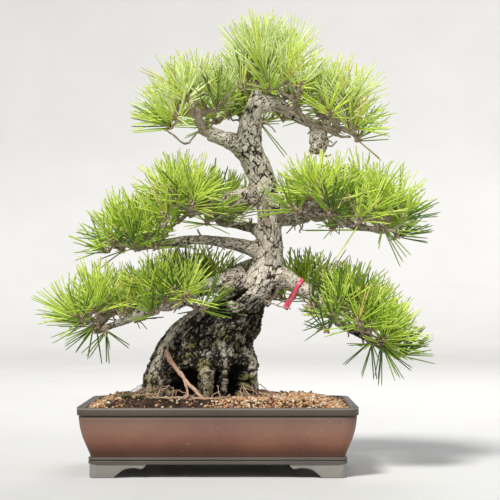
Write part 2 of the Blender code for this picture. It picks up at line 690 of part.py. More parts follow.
def make_tag(lines):
    centre, radius, axis, down = tag_frame(lines)
    side = axis.cross(down)
    loop_radius = radius + TAG_SLACK
    lean = math.asin((loop_radius - TAG_END_RADIUS) / TAG_LENGTH)

    def outline(grow):
        points = []
        quarter = math.pi / 2
        upper = (0.0, loop_radius, quarter + lean, 3 * quarter - lean)
        lower = (TAG_LENGTH, TAG_END_RADIUS, -quarter - lean, quarter + lean)
        for middle, size, first, last in (upper, lower):
            for k in range(TAG_ARC_STEPS + 1):
                angle = first + (last - first) * k / TAG_ARC_STEPS
                points.append(centre + down * (middle + (size + grow) * math.cos(angle))
                              + side * ((size + grow) * math.sin(angle)))
        return points

    bm = bmesh.new()
    half = axis * TAG_WIDTH / 2
    rings = []
    for grow, offset in ((0, -half), (TAG_THICKNESS, -half), (TAG_THICKNESS, half), (0, half)):
        rings.append([bm.verts.new(point + offset) for point in outline(grow)])
    count = len(rings[0])
    for a, b in zip(rings, rings[1:] + rings[:1]):
        for k in range(count):
            bm.faces.new((a[k], a[(k + 1) % count], b[(k + 1) % count], b[k]))
    return add_object("red_tag", bm, "red_plastic")


def sample_limbs(lines):
    """Points and radii along every bough, the stub and the tag, for needles to keep away from."""
    points = []
    radii = []
    for line, sizes in lines.values():
        for a, b, size_a, size_b in zip(line, line[1:], sizes, sizes[1:]):
            for k in range(LIMB_SAMPLES):
                points.append(a.lerp(b, k / LIMB_SAMPLES))
                radii.append(size_a + (size_b - size_a) * k / LIMB_SAMPLES)
        points.append(line[-1])
        radii.append(sizes[-1])
    for k in range(STUB_SAMPLES + 1):
        points.append(Vector(STUB_POINTS[0]).lerp(Vector(STUB_POINTS[-1]), k / STUB_SAMPLES))
        radii.append(max(STUB_RADII))
    centre, radius, _, down = tag_frame(lines)
    for k in range(TAG_SAMPLES + 1):
        points.append(centre + down * TAG_LENGTH * k / TAG_SAMPLES)
        radii.append(radius + TAG_SLACK + TAG_THICKNESS + TAG_WIDTH / 2)
    return np.array(points), np.array(radii)


def mass_cells():
    """Planes that part each mass from the others, as outward normals and offsets."""
    cells = {}
    for name, _, centre, half, *_ in MASSES:
        planes = []
        for other, _, other_centre, other_half, *_ in MASSES:
            if other == name:
                continue
            toward = Vector(other_centre) - Vector(centre)
            distance = toward.length
            toward.normalize()
            here = Vector([h * d for h, d in zip(half, toward)]).length + NEEDLE_LENGTH / 2
            there = Vector([h * d for h, d in zip(other_half, toward)]).length + NEEDLE_LENGTH / 2
            offset = toward.dot(Vector(centre)) + distance * here / (here + there)
            planes.append((toward, offset - CELL_MARGIN))
        cells[name] = planes
    return cells


def inside_cell(point, planes, margin=0.0):
    return all(normal.dot(point) < offset - margin for normal, offset in planes)


def clear_of_limbs(start, end, start_radius, end_radius, limbs):
    """True where a tapering spike stays clear of every limb and of the trunk."""
    points, radii = limbs
    for k in range(SPIKE_TESTS + 1):
        t = k / SPIKE_TESTS
        place = start.lerp(end, t)
        size = start_radius + (end_radius - start_radius) * t + LIMB_MARGIN
        if np.any(np.linalg.norm(points - np.array(place), axis=1) < radii + size):
            return False
        if place.z < TRUNK_STATIONS[-1][0] + size:
            _, x, y, half_x, half_y = smooth_row(TRUNK_STATIONS, place.z)
            if math.hypot((place.x - x) / (half_x + size), (place.y - y) / (half_y + size)) < 1:
                return False
    return True


def crosses(start, end, others, radius):
    """True where a spike from start to end would cut one of the other spikes."""
    near = SAME_CORE * CORE_RADIUS
    others = [(a, b) for a, b in others if min((a - start).length, (b - start).length) > near]
    if not others:
        return False
    starts = np.array([a for a, _ in others])
    runs = np.array([b for _, b in others]) - starts
    first = np.array(end - start)
    apart = np.array(start) - starts
    a = first @ first
    b = runs @ first
    c = apart @ first
    e = np.einsum("ij,ij->i", runs, runs)
    f = np.einsum("ij,ij->i", runs, apart)
    below = np.maximum(a * e - b * b, 1e-12)
    s = np.clip((b * f - c * e) / below, 0, 1)
    t = np.clip((b * s + f) / e, 0, 1)
    s = np.clip((b * t - c) / a, 0, 1)
    gap = np.linalg.norm(np.array(start) + s[:, None] * first - starts - t[:, None] * runs, axis=1)
    return bool(np.any(gap < radius * (1 - s) + radius * (1 - t) + NEEDLE_CLEARANCE))


def shoot_places(centre, half, fall, count, rng):
    """Places of the shoots on the domed layer of a mass, spread as seeds on a sunflower."""
    turn = rng.uniform(0, 2 * math.pi)
    places = []
    for i in range(count):
        spread = math.sqrt((i + 0.5) / count)
        angle = turn + GOLDEN_ANGLE * i
        x = half[0] * spread * math.cos(angle)
        y = half[1] * spread * math.sin(angle)
        z = half[2] * (DOME_TOP - DOME_FALL * spread ** 2) + fall * x
        shift = Vector([rng.uniform(-SHOOT_JITTER, SHOOT_JITTER) for _ in range(3)])
        place = Vector(centre) + Vector((x, y, z)) + shift
        outward = Vector((math.cos(angle), math.sin(angle), 0)) * spread ** LEAN_POWER
        lean = (Vector((0, 0, SHOOT_RISE - SHOOT_DROOP * spread ** 3)) + outward).normalized()
        places.append((place, lean))
    return places


def make_shoot(path, lean, planes, limbs, taken, rng):
    """One closed solid: a slim core with needles standing out of it, on its three-sided twig."""
    bm = bmesh.new()
    bmesh.ops.create_icosphere(bm, subdivisions=1, radius=CORE_RADIUS)
    bm.normal_update()
    bm.faces.ensure_lookup_table()
    bottom = bm.faces[0]
    axis = (path[-1] - path[-2]).normalized()
    turn = bottom.normal.rotation_difference(-axis).to_matrix().to_4x4()
    roll = Matrix.Rotation(rng.uniform(0, 2 * math.pi), 4, axis)
    bmesh.ops.transform(bm, matrix=Matrix.Translation(path[-1]) @ roll @ turn, verts=bm.verts)
    bm.normal_update()
    mine = []
    for face in sorted(bm.faces, key=lambda one: -one.normal.dot(lean)):
        normal = face.normal.copy()
        if face == bottom or normal.dot(lean) < NEEDLE_LOWEST:
            continue
        root = face.calc_center_median()
        for attempt in range(NEEDLE_TRIES):
            stray = Vector([rng.gauss(0, NEEDLE_JITTER * attempt / NEEDLE_TRIES) for _ in range(3)])
            aim = (normal + lean * NEEDLE_LIFT + stray).normalized()
            if aim.dot(normal) < NEEDLE_SLANT:
                continue
            length = NEEDLE_LENGTH * rng.uniform(*NEEDLE_SPREAD)
            while length > NEEDLE_SHORTEST * NEEDLE_LENGTH and not inside_cell(root + aim * length, planes):
                length *= NEEDLE_TRIM
            tip = root + aim * length
            if (inside_cell(tip, planes) and clear_of_limbs(root, tip, NEEDLE_FOOT * CORE_RADIUS, 0.0, limbs)
                    and not crosses(root, tip, taken, NEEDLE_FOOT * CORE_RADIUS)):
                close_ring(bm, list(face.verts), [bm.verts.new(tip)])
                bm.faces.remove(face)
                mine.append((root, tip))
                break
    taken.extend(mine)
    grow_twig(bm, bottom, path, axis)
    return add_object("shoot", bm, "pine_needle")


def close_ring(bm, ring, after):
    """Faces from a ring of corners to the next ring, or to one point."""
    count = len(ring)
    for k in range(count):
        ahead = (k + 1) % count
        if len(after) == 1:
            bm.faces.new((ring[k], ring[ahead], after[0]))
        else:
            bm.faces.new((ring[k], ring[ahead], after[ahead], after[k]))


def grow_twig(bm, bottom, path, axis):
    """Carries the core's bottom face back along the path as a tapering twig."""
    ring = list(bottom.verts)
    middle = bottom.calc_center_median()
    spokes = [corner.co - middle for corner in ring]
    bm.faces.remove(bottom)
    size = spokes[0].length
    for i in range(len(path) - 2, -1, -1):
        ahead = (path[i + 1] - path[max(i - 1, 0)]).normalized()
        turn = axis.rotation_difference(ahead)
        wide = TWIG_RADIUS if i == 0 else 0.5 * (TWIG_RADIUS + TWIG_TIP_RADIUS)
        after = [bm.verts.new(path[i] + turn @ spoke * (wide / size)) for spoke in spokes]
        close_ring(bm, ring, after)
        ring = after
    bm.faces.new(ring)


def make_mass(spec, lines, cells, limbs):
    name, carrier, centre, half, fall, count = spec
    rng = random.Random(name)
    planes = cells[name]
    if carrier == "trunk":
        tip = Vector((*smooth_row(TRUNK_STATIONS, 1.0)[1:3], TRUNK_STATIONS[-1][0]))
        ahead = Vector((0, 0, 1))
    else:
        line, _ = lines[carrier]
        tip = line[-1]
        ahead = (line[-1] - line[-2]).normalized()
    start = tip + ahead * GAP
    goal = Vector(centre) - Vector((0, 0, STEM_END * half[2]))
    stem_line = smooth_curve((start, start + ahead * STEM_LEAD, goal), STEM_STEP)
    radii = tapered(STEM_RADIUS, STEM_TIP_RADIUS, len(stem_line))
    stem = add_object(f"foliage_{name}", tube(stem_line, radii, STEM_SIDES), "pine_needle")
    joints = stem_line[1:-1] + [stem_line[-2].lerp(stem_line[-1], LAST_JOINT)]
    places = shoot_places(centre, half, fall, count, rng)
    shoots = sorted(places, key=lambda one: (one[0] - start).length)
    twigs = []
    for home, lean in shoots:
        place = home
        for attempt in range(SHOOT_TRIES):
            joint = min(joints, key=lambda one: (one - place).length)
            length = (place - joint).length
            middle = joint.lerp(place, 0.5) - Vector((0, 0, TWIG_SAG * length))
            path = (joint, middle, place) if length > TWIG_STRAIGHT else (joint, place)
            clear = all(clear_of_limbs(a, b, TWIG_RADIUS, TWIG_RADIUS, limbs)
                        for a, b in zip(path, path[1:]))
            if clear and inside_cell(place, planes, CORE_RADIUS):
                twigs.append((path, lean))
                joints += [middle, middle.lerp(place, TWIG_JOINT)]
                break
            spread = SHOOT_SHIFT * (attempt + 1)
            place = home + Vector((rng.gauss(0, spread), rng.gauss(0, spread), rng.gauss(0, 0.4 * spread)))
        else:
            print("skipped one shoot of", name)
    wood = list(zip(stem_line, stem_line[1:]))
    for path, _ in twigs:
        wood += list(zip(path, path[1:]))
    taken = list(wood)
    pieces = [make_shoot(path, lean, planes, limbs, taken, rng) for path, lean in twigs]
    join_or_cut(stem, pieces, "UNION", "MANIFOLD")
    keep_largest_shell(stem)
    return stem


def footprint_centre(objects):
    bpy.context.view_layer.update()
    corners = [obj.matrix_world @ Vector(corner) for obj in objects for corner in obj.bound_box]
    middle_x = (min(c.x for c in corners) + max(c.x for c in corners)) / 2
    middle_y = (min(c.y for c in corners) + max(c.y for c in corners)) / 2
    return Vector((middle_x, middle_y, 0))


def main():
    clear_scene()
    objects = [make_pot()] + make_feet() + [make_soil(), make_trunk()]
    objects += make_surface_roots()
    lines = bough_lines()
    objects += make_boughs(lines)
    objects += [make_stub(lines), make_tag(lines)]
    cells = mass_cells()
    limbs = sample_limbs(lines)
    objects += [make_mass(spec, lines, cells, limbs) for spec in MASSES]
    holder = bpy.data.objects.new("bonsai", None)
    bpy.context.scene.collection.objects.link(holder)
    holder.location = -footprint_centre(objects)
    for obj in objects:
        obj.parent = holder


main()
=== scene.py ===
import math
import random

import bpy
import numpy as np
from mathutils import Matrix, Vector


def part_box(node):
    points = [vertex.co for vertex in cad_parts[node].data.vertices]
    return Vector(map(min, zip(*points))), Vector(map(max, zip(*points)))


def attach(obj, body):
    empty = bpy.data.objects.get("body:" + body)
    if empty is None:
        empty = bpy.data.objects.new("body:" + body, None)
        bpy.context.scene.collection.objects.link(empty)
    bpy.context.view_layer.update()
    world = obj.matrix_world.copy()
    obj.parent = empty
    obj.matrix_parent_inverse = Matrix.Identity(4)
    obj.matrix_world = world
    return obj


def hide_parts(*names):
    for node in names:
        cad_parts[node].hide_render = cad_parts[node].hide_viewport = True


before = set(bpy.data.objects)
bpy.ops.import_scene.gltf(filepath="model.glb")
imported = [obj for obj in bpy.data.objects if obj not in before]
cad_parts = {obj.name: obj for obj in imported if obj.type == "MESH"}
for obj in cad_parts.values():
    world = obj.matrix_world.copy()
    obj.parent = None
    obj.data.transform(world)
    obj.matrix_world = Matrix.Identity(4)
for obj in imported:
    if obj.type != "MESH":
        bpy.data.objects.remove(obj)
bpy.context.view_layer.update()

# The plant is laid out in the pot's own frame, with the pot's centre on the z axis, and then
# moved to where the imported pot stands
_pot_low, _pot_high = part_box("pot_body")
ORIGIN = Vector(((_pot_low.x + _pot_high.x) / 2, (_pot_low.y + _pot_high.y) / 2, 0))

# Camera of the photograph, in the pot's own frame
CAMERA_PLACE = (0.0456, -2.445, 0.262)
CAMERA_PITCH = math.radians(1.5)
CAMERA_LENS = 117.7
CAMERA_SENSOR = 36

# Stage: radius and height of the floor's rings, and the lights
FLOOR_RINGS = ((0.0, 0.0), (0.5, 0.0), (1.5, 0.0), (4.0, 0.0), (6.0, 0.0),
               (7.2, 0.35), (7.8, 1.2), (8.0, 3.0))
FLOOR_SIDES = 64
WORLD_COLOUR = (0.80, 0.83, 0.87, 1.0)
WORLD_STRENGTH = 0.33
SUN_STRENGTH = 3.7
SUN_ANGLE = math.radians(14)
SUN_COLOUR = (1.0, 0.975, 0.94)
SUN_WAY = (0.42, 0.72, -1.0)
LIGHT_AIM = (0.03, 0.0, 0.36)
# Soft lights: name, place, size, watts, colour
SOFT_LIGHTS = (
    ("fill", (2.4, -1.6, 1.2), 1.6, 20, (0.94, 0.97, 1.0)),
    ("rear", (0.6, 2.3, 2.2), 1.4, 30, (1.0, 0.99, 0.97)),
)

# Pot, as in the part
POT_WIDTH = 0.400
POT_DEPTH = 0.290
POT_HEIGHT = 0.100
POT_CORNER = 0.024
RIM_BAND = 0.012
RIM_LIP = 0.009
BELT_INSET = 0.0156
BELT_HEIGHT = 0.0095
BELT_STEP = 0.0036
# The belt's two rolls with a groove between them: depth below its face, share of its height
BELT_ROWS = ((0.0040, 0.0), (0.0008, 0.02), (0.0, 0.12), (0.0, 0.42), (0.0008, 0.50), (0.0022, 0.54),
             (0.0008, 0.58), (0.0, 0.68), (0.0, 0.90), (0.0010, 1.0), (0.0036, 1.03))
FOOT_HEIGHT = 0.0195
FLOOR_HEIGHT = 0.031
# How far the belt and the feet reach into what stands on them
SEAM = 0.0006
WALL_STEPS = 14
BELT_ROUNDING = 0.0009
RIM_ROUNDING = 0.0011
# The hand-made walls are not quite flat
WALL_WAVE = 0.00025
WALL_CURVE = ((0.0, 1.0), (0.18, 0.78), (0.45, 0.42), (0.72, 0.20), (0.97, 0.12))
FOOT_LENGTH_X = 0.080
FOOT_LENGTH_Y = 0.062
FOOT_THICKNESS = 0.016
FOOT_CORNER = 0.010
FOOT_INSET = 0.0178
FOOT_EDGE_BELOW = 0.0016
FOOT_EDGE_ABOVE = 0.0004
FOOT_ARCH = ((1.0, 0.86), (0.93, 0.64), (0.80, 0.72), (0.64, 0.64), (0.53, 0.36), (0.43, 0.0))

# Soil
SOIL_EDGE = 0.0965
GROUND = 0.109
MOUND_X = -0.012
MOUND_HALF_X = 0.142
MOUND_HALF_Y = 0.092
MOUND_FALL = (-0.15, 1.05)
# Heaps of grit: step, row share, shift, depth of the hollows, least share of it, margin, rest of the roots
HEAP_STEP = 0.0105
HEAP_ROW = 0.866
HEAP_SHIFT = 0.0014
HEAP_DEPTH = 0.0032
HEAP_LEAST = 0.7
HEAP_MARGIN = 0.005
HEAP_BLEND = 0.0048
HEAP_RISE = 0.0009
ROOT_REST = 0.006
FOOT_GROUND = (-0.022, -0.004, 0.097, 0.083)
# The four roots that rest on level ground: start, middle and end
ROOT_ROUTES = (
    ((-0.147, -0.020), (-0.136, -0.018), (-0.122, -0.015)),
    ((-0.149, -0.040), (-0.132, -0.047), (-0.116, -0.050)),
    ((-0.052, -0.088), (-0.066, -0.083), (-0.080, -0.078)),
    ((-0.104, -0.082), (-0.088, -0.088), (-0.070, -0.0885)),
)
# The soil's mesh: steps across it, gap to the pot, bottom, share of its size there, how far it lies
# below the grains' own surface, and the height and width of its unevenness
SOIL_STEPS = (150, 108)
SOIL_GAP = 0.0024
SOIL_BOTTOM = 0.080
SOIL_TAPER = 0.97
SOIL_SINK = 0.0008
SOIL_BUMPS = 0.0007
SOIL_BUMP_WIDTH = 0.009
GRAIN_SPACING = 0.0041
GRAIN_SHIFT = 0.0019
GRAIN_EDGE = 0.0015
GRAIN_SINK = 0.0010
GRAIN_SQUASH = (0.62, 1.15)
GRAIN_ROUGHNESS = (0.80, 1.18)
# How high a grain stands in its own radii, and how near the trunk's middle grains come in its half sizes
GRAIN_RISE = (-0.3, 0.75)
GRAIN_TRUNK_SHARE = 0.80
# Grains: name, share of them, smallest and largest radius
GRAIN_KINDS = (
    ("pumice", 0.15, 0.0016, 0.0031),
    ("akadama", 0.27, 0.0018, 0.0032),
    ("lava", 0.23, 0.0016, 0.0031),
    ("tan", 0.35, 0.0016, 0.0030),
    ("humus", 1.00, 0.0012, 0.0024),
)
# Dark damp ground between the roots: how ragged its edge is and how much of it is humus
HUMUS_RAGGED = 0.25
HUMUS_SHARE = 0.88
# The x and y of its patches' middles and their half sizes
HUMUS_PATCHES = ((-0.080, -0.100, 0.074, 0.052), (-0.128, -0.020, 0.026, 0.050), (0.020, 0.080, 0.050, 0.016))

# Trunk: height, centre x, centre y, half width, half depth
TRUNK_STATIONS = np.array((
    (0.100, -0.0274, 0.000, 0.0850, 0.0640),
    (0.140, -0.0254, 0.000, 0.0842, 0.0600),
    (0.163, -0.0216, 0.001, 0.0780, 0.0560),
    (0.189, -0.0194, 0.002, 0.0672, 0.0500),
    (0.211, -0.0066, 0.002, 0.0656, 0.0470),
    (0.228, 0.0078, 0.002, 0.0554, 0.0440),
    (0.243, 0.0230, 0.001, 0.0450, 0.0400),
    (0.2665, 0.0523, 0.000, 0.0336, 0.0310),
    (0.299, 0.0704, -0.002, 0.0241, 0.0245),
    (0.345, 0.0742, -0.004, 0.0188, 0.0200),
    (0.410, 0.0704, -0.002, 0.0188, 0.0185),
    (0.446, 0.0584, 0.000, 0.0216, 0.0190),
    (0.480, 0.0447, 0.002, 0.0206, 0.0185),
    (0.515, 0.0465, 0.000, 0.0165, 0.0155),
    (0.545, 0.0525, -0.004, 0.0112, 0.0108),
    (0.562, 0.0560, -0.005, 0.0080, 0.0080),
))
TRUNK_TOP = 0.562
TRUNK_RINGS = 150
TRUNK_SIDES = 72
TRUNK_LOBES = 6
LOBE_AT_GROUND = 0.17
LOBE_AT_TOP = 0.035
LOBE_FADE = 0.055

# Root legs of the flare: ground x, ground y, height where it leaves the trunk, radius
ROOT_LEGS = (
    (-0.1040, -0.014, 0.172, 0.0095),
    (-0.0690, -0.052, 0.160, 0.0080),
    (-0.0195, -0.070, 0.158, 0.0074),
    (0.0083, -0.068, 0.158, 0.0052),
    (0.0510, -0.022, 0.176, 0.0062),
    (0.0500, 0.040, 0.170, 0.0085),
    (0.0020, 0.066, 0.162, 0.0090),
    (-0.0620, 0.056, 0.164, 0.0090),
)
LEG_BULGE = 0.006
LEG_TAPER = (0.8, 1.05)
# The legs in front, nearer than this y, are slimmer
FRONT_LEGS_Y = -0.06
FRONT_LEG_SLIM = 0.72
SLANT_ROOT = ((-0.0760, -0.034, 0.1720), (-0.0560, -0.060, 0.1440), (-0.0340, -0.0785, 0.1200),
              (-0.0190, -0.0865, 0.1070))
SLANT_ROOT_START = (-0.064, -0.012, 0.1830)
SLANT_ROOT_RADIUS = 0.0040
# Hollows between the legs: direction round the trunk in degrees, height, half width in degrees,
# half height, depth
HOLLOWS = (
    (248.5, 0.127, 24.5, 0.029, 0.030),
    (286.2, 0.127, 7.6, 0.030, 0.024),
    (315.5, 0.130, 19.5, 0.031, 0.030),
    (239, 0.176, 17, 0.022, 0.011),
    (318, 0.180, 11, 0.016, 0.007),
    (12, 0.130, 12, 0.022, 0.017),
    (62, 0.128, 11, 0.018, 0.016),
    (104, 0.134, 13, 0.024, 0.018),
    (160, 0.130, 12, 0.020, 0.016),
    (130, 0.178, 16, 0.022, 0.007),
    (188, 0.123, 6, 0.012, 0.009),
    (236, 0.254, 26, 0.016, 0.022),
)
# Raised roots on the flare: direction and height of each point, half width, rise, how much lighter
RIDGES = (
    (((212, 0.240), (210, 0.205), (207, 0.175), (208, 0.145), (209, 0.110)), 0.0105, 0.0062, 1.3),
    (((272, 0.172), (273, 0.150), (275.5, 0.128), (275.5, 0.106)), 0.0050, 0.0040, 0.85),
    (((291, 0.186), (293, 0.160), (295, 0.130), (295, 0.106)), 0.0034, 0.0036, 0.80),
    (((330, 0.192), (334, 0.165), (338, 0.138), (339, 0.108)), 0.0058, 0.0028, 0.65),
    (((30, 0.195), (36, 0.160), (38, 0.130), (38, 0.108)), 0.0080, 0.0034, 0.40),
    (((86, 0.190), (84, 0.160), (82, 0.130), (82, 0.108)), 0.0075, 0.0038, 0.45),
    (((136, 0.200), (134, 0.165), (134, 0.130), (135, 0.108)), 0.0085, 0.0038, 0.50),
    (((176, 0.190), (176, 0.160), (177, 0.130), (178, 0.108)), 0.0080, 0.0030, 0.45),
)

# Boughs: name, parent, base radius, tip radius, points from the parent's axis to the tip
BOUGHS = (
    ("low_left", "trunk", 0.0150, 0.0046,
     ((0.036, 0.000, 0.281), (-0.020, -0.018, 0.270), (-0.060, -0.032, 0.250), (-0.102, -0.042, 0.238),
      (-0.136, -0.050, 0.222), (-0.168, -0.054, 0.210))),
    ("low_left_front", "low_left", 0.0062, 0.0042,
     ((-0.020, -0.018, 0.270), (-0.034, -0.044, 0.268), (-0.046, -0.062, 0.260))),
    ("low_back_left", "trunk", 0.0100, 0.0055,
     ((0.068, -0.001, 0.304), (0.036, 0.042, 0.301), (-0.014, 0.070, 0.285))),
    ("low_right", "trunk", 0.0132, 0.0048,
     ((0.068, -0.001, 0.292), (0.108, -0.012, 0.278), (0.142, -0.026, 0.253), (0.176, -0.044, 0.218),
      (0.214, -0.054, 0.197))),
    ("low_back_right", "trunk", 0.0095, 0.0055,
     ((0.068, 0.000, 0.288), (0.094, 0.040, 0.287), (0.116, 0.070, 0.276))),
    ("mid_left", "trunk", 0.0105, 0.0046,
     ((0.072, -0.003, 0.322), (0.023, -0.012, 0.334), (-0.029, -0.024, 0.3405), (-0.076, -0.034, 0.335),
      (-0.112, -0.040, 0.329))),
    ("mid_left_upper", "trunk", 0.0130, 0.0092,
     ((0.069, -0.002, 0.410), (0.010, -0.014, 0.401), (-0.018, -0.024, 0.389))),
    ("mid_back_left", "trunk", 0.0090, 0.0052,
     ((0.073, -0.003, 0.352), (0.040, 0.038, 0.362), (0.012, 0.066, 0.368))),
    ("mid_right", "trunk", 0.0108, 0.0048,
     ((0.073, -0.003, 0.388), (0.119, -0.010, 0.384), (0.163, -0.022, 0.380), (0.196, -0.032, 0.362),
      (0.228, -0.038, 0.356))),
    ("mid_right_front", "mid_right", 0.0060, 0.0040,
     ((0.119, -0.010, 0.384), (0.128, -0.034, 0.390), (0.140, -0.052, 0.396))),
    ("mid_back_right", "trunk", 0.0088, 0.0050,
     ((0.073, -0.003, 0.372), (0.104, 0.038, 0.370), (0.130, 0.066, 0.374))),
    ("top_left", "trunk", 0.0135, 0.0108,
     ((0.048, 0.002, 0.470), (0.020, -0.004, 0.487), (-0.015, -0.008, 0.500))),
    ("top_back", "trunk", 0.0080, 0.0048,
     ((0.046, 0.001, 0.500), (0.042, 0.036, 0.506), (0.036, 0.062, 0.514))),
    ("top_right", "trunk", 0.0088, 0.0070,
     ((0.052, -0.003, 0.545), (0.086, -0.010, 0.542), (0.122, -0.016, 0.521), (0.165, -0.022, 0.505))),
)
BOUGH_STEP = 0.004
COLLAR_SWELL = 0.35
COLLAR_LENGTH = 0.016
# How far the swelling of a limb's foot starts from the axis of its parent
TRUNK_COLLAR = 0.022
BOUGH_COLLAR = 0.009
LIMB_SIDES = 14
STUB_POINTS = ((0.1460, -0.020, 0.5040), (0.1475, -0.021, 0.4860), (0.1460, -0.022, 0.4720))
STUB_RADII = (0.0120, 0.0155, 0.0125)
STUB_ROOT = (0.1455, -0.020, 0.512)
STUB_ROOT_RADIUS = 0.009
STUB_SLIM = 0.92
# The torn wood of the dead stub is rough within this reach
SNAG_PLACE = (0.1465, -0.021, 0.4840)
SNAG_REACH = 0.021
SNAG_DEPTH = 0.0036

# Cut knobs and knots: place, radius of the ring, height of the ring, depth of its middle
KNOTS = (
    ((0.0100, -0.030, 0.2745), 0.0085, 0.0035, 0.0030),
    ((0.0251, -0.043, 0.2385), 0.0090, 0.0085, -0.0030),
    ((0.0560, -0.018, 0.4790), 0.0075, 0.0030, 0.0025),
    ((0.0440, -0.017, 0.4725), 0.0045, 0.0012, 0.0060),
    ((0.0800, 0.018, 0.3300), 0.0080, 0.0032, 0.0028),
    ((0.0560, 0.017, 0.4500), 0.0070, 0.0030, 0.0024),
    ((0.0200, 0.040, 0.2450), 0.0100, 0.0040, 0.0030),
)

# Fans of fine roots at the foot: from and to which direction in degrees, and how many
ROOTLET_FANS = (
    (188, 218, 7),
    (228, 266, 9),
    (278, 290, 2),
    (300, 332, 6),
    (345, 382, 4),
    (50, 75, 4),
    (95, 130, 5),
    (148, 176, 5),
)
ROOTLET_HEIGHT = (0.111, 0.129)
ROOTLET_REACH = (0.010, 0.038)
ROOTLET_SIZES = (0.0005, 0.0006, 0.0008, 0.0013)

# Fine roots over the soil: four places on the ground, rise at the flare, radius
FINE_ROOTS = (
    ((-0.147, -0.02), (-0.136, -0.018), (-0.122, -0.015), (-0.108, -0.012), 0.015, 0.0021),
    ((-0.149, -0.04), (-0.132, -0.047), (-0.116, -0.05), (-0.096, -0.048), 0.003, 0.0021),
    ((-0.104, -0.082), (-0.088, -0.088), (-0.07, -0.0885), (-0.05, -0.078), 0.001, 0.0018),
    ((-0.08, -0.078), (-0.066, -0.083), (-0.052, -0.088), (-0.04, -0.074), 0.002, 0.002),
    ((-0.044, -0.092), (-0.041, -0.084), (-0.038, -0.074), (-0.034, -0.06), 0.004, 0.0014),
    ((0.004, -0.09), (0.01, -0.082), (0.014, -0.074), (0.016, -0.062), 0.003, 0.0016),
    ((0.092, -0.046), (0.08, -0.04), (0.07, -0.03), (0.058, -0.022), 0.004, 0.002),
    ((0.084, 0.06), (0.072, 0.052), (0.06, 0.046), (0.046, 0.036), 0.005, 0.0024),
    ((-0.004, 0.098), (0.0, 0.086), (0.002, 0.074), (0.004, 0.06), 0.004, 0.0022),
    ((-0.1, 0.084), (-0.088, 0.074), (-0.076, 0.064), (-0.062, 0.052), 0.005, 0.0024),
    ((-0.142, 0.03), (-0.126, 0.024), (-0.112, 0.018), (-0.096, 0.012), 0.007, 0.0022),
)
# Rootlets that branch from the slant root
SLANT_ROOTLETS = (
    ((-0.044, -0.084, 0.117), (-0.046, -0.091, 0.112), (-0.051, -0.096, 0.1085)),
    ((-0.034, -0.09, 0.11), (-0.041, -0.098, 0.108)),
    ((-0.012, -0.092, 0.11), (-0.002, -0.094, 0.1095)),
)

# Thin dead twigs that cross the open places: radius, places
BARE_TWIGS = (
    (0.0011, (0.0322, -0.026, 0.2934), (0.023, -0.034, 0.286), (0.012, -0.04, 0.274),
     (0.0007, -0.04, 0.2635)),
    (0.0012, (0.064, -0.02, 0.252), (0.078, -0.028, 0.247), (0.092, -0.03, 0.241), (0.106, -0.031, 0.238)),
    (0.0008, (0.086, -0.028, 0.244), (0.096, -0.034, 0.25), (0.106, -0.036, 0.253)),
    (0.0034, (0.1069, -0.016, 0.5565), (0.117, -0.03, 0.536), (0.1264, -0.034, 0.519),
     (0.153, -0.03, 0.5056)),
    (0.0026, (0.0845, -0.02, 0.54), (0.1, -0.03, 0.533), (0.1188, -0.036, 0.5221)),
    (0.0017, (-0.068, -0.012, 0.497), (-0.058, -0.02, 0.488), (-0.0471, -0.024, 0.4832),
     (-0.0306, -0.02, 0.5026)),
    (0.002, (-0.0306, -0.02, 0.5026), (-0.022, -0.012, 0.5), (-0.012, -0.008, 0.5)),
    (0.0014, (-0.0815, -0.014, 0.504), (-0.074, -0.016, 0.501), (-0.068, -0.012, 0.497)),
    (0.0023, (0.137, -0.022, 0.515), (0.158, -0.03, 0.513), (0.17, -0.034, 0.522), (0.182, -0.036, 0.534)),
    (0.0025, (0.153, -0.03, 0.5056), (0.164, -0.034, 0.501), (0.173, -0.034, 0.4952),
     (0.194, -0.036, 0.492)),
    (0.0018, (0.15, -0.026, 0.477), (0.158, -0.032, 0.48), (0.166, -0.034, 0.479), (0.174, -0.034, 0.486)),
    (0.0015, (0.146, -0.028, 0.5), (0.156, -0.036, 0.492), (0.167, -0.038, 0.494), (0.172, -0.038, 0.501)),
    (0.0022, (0.08, -0.016, 0.536), (0.096, -0.026, 0.53), (0.113, -0.032, 0.54), (0.119, -0.03, 0.56)),
    (0.0015, (0.056, -0.014, 0.512), (0.068, -0.026, 0.516), (0.078, -0.03, 0.506), (0.083, -0.03, 0.5)),
    (0.0022, (0.01, -0.014, 0.401), (-0.01, -0.03, 0.39), (-0.028, -0.036, 0.381), (-0.046, -0.038, 0.378)),
    (0.0018, (0.032, -0.018, 0.398), (0.014, -0.034, 0.384), (-0.003, -0.038, 0.372),
     (-0.02, -0.036, 0.366)),
    (0.0014, (0.05, -0.014, 0.393), (0.036, -0.03, 0.376), (0.026, -0.034, 0.364), (0.012, -0.036, 0.36)),
    (0.0019, (0.1465, -0.024, 0.479), (0.15, -0.034, 0.469), (0.157, -0.038, 0.464), (0.165, -0.04, 0.466)),
    (0.0015, (0.145, -0.024, 0.479), (0.14, -0.034, 0.469), (0.134, -0.037, 0.466), (0.129, -0.038, 0.46)),
    (0.0016, (0.15, -0.024, 0.49), (0.16, -0.034, 0.488), (0.167, -0.038, 0.483)),
)
# Dead spurs for each step of a bough's line
SPUR_SHARE = 0.16
SPUR_STEP = (0.004, 0.008)
SPUR_BEND = 0.45
SPUR_RADIUS = (0.0009, 0.0017)

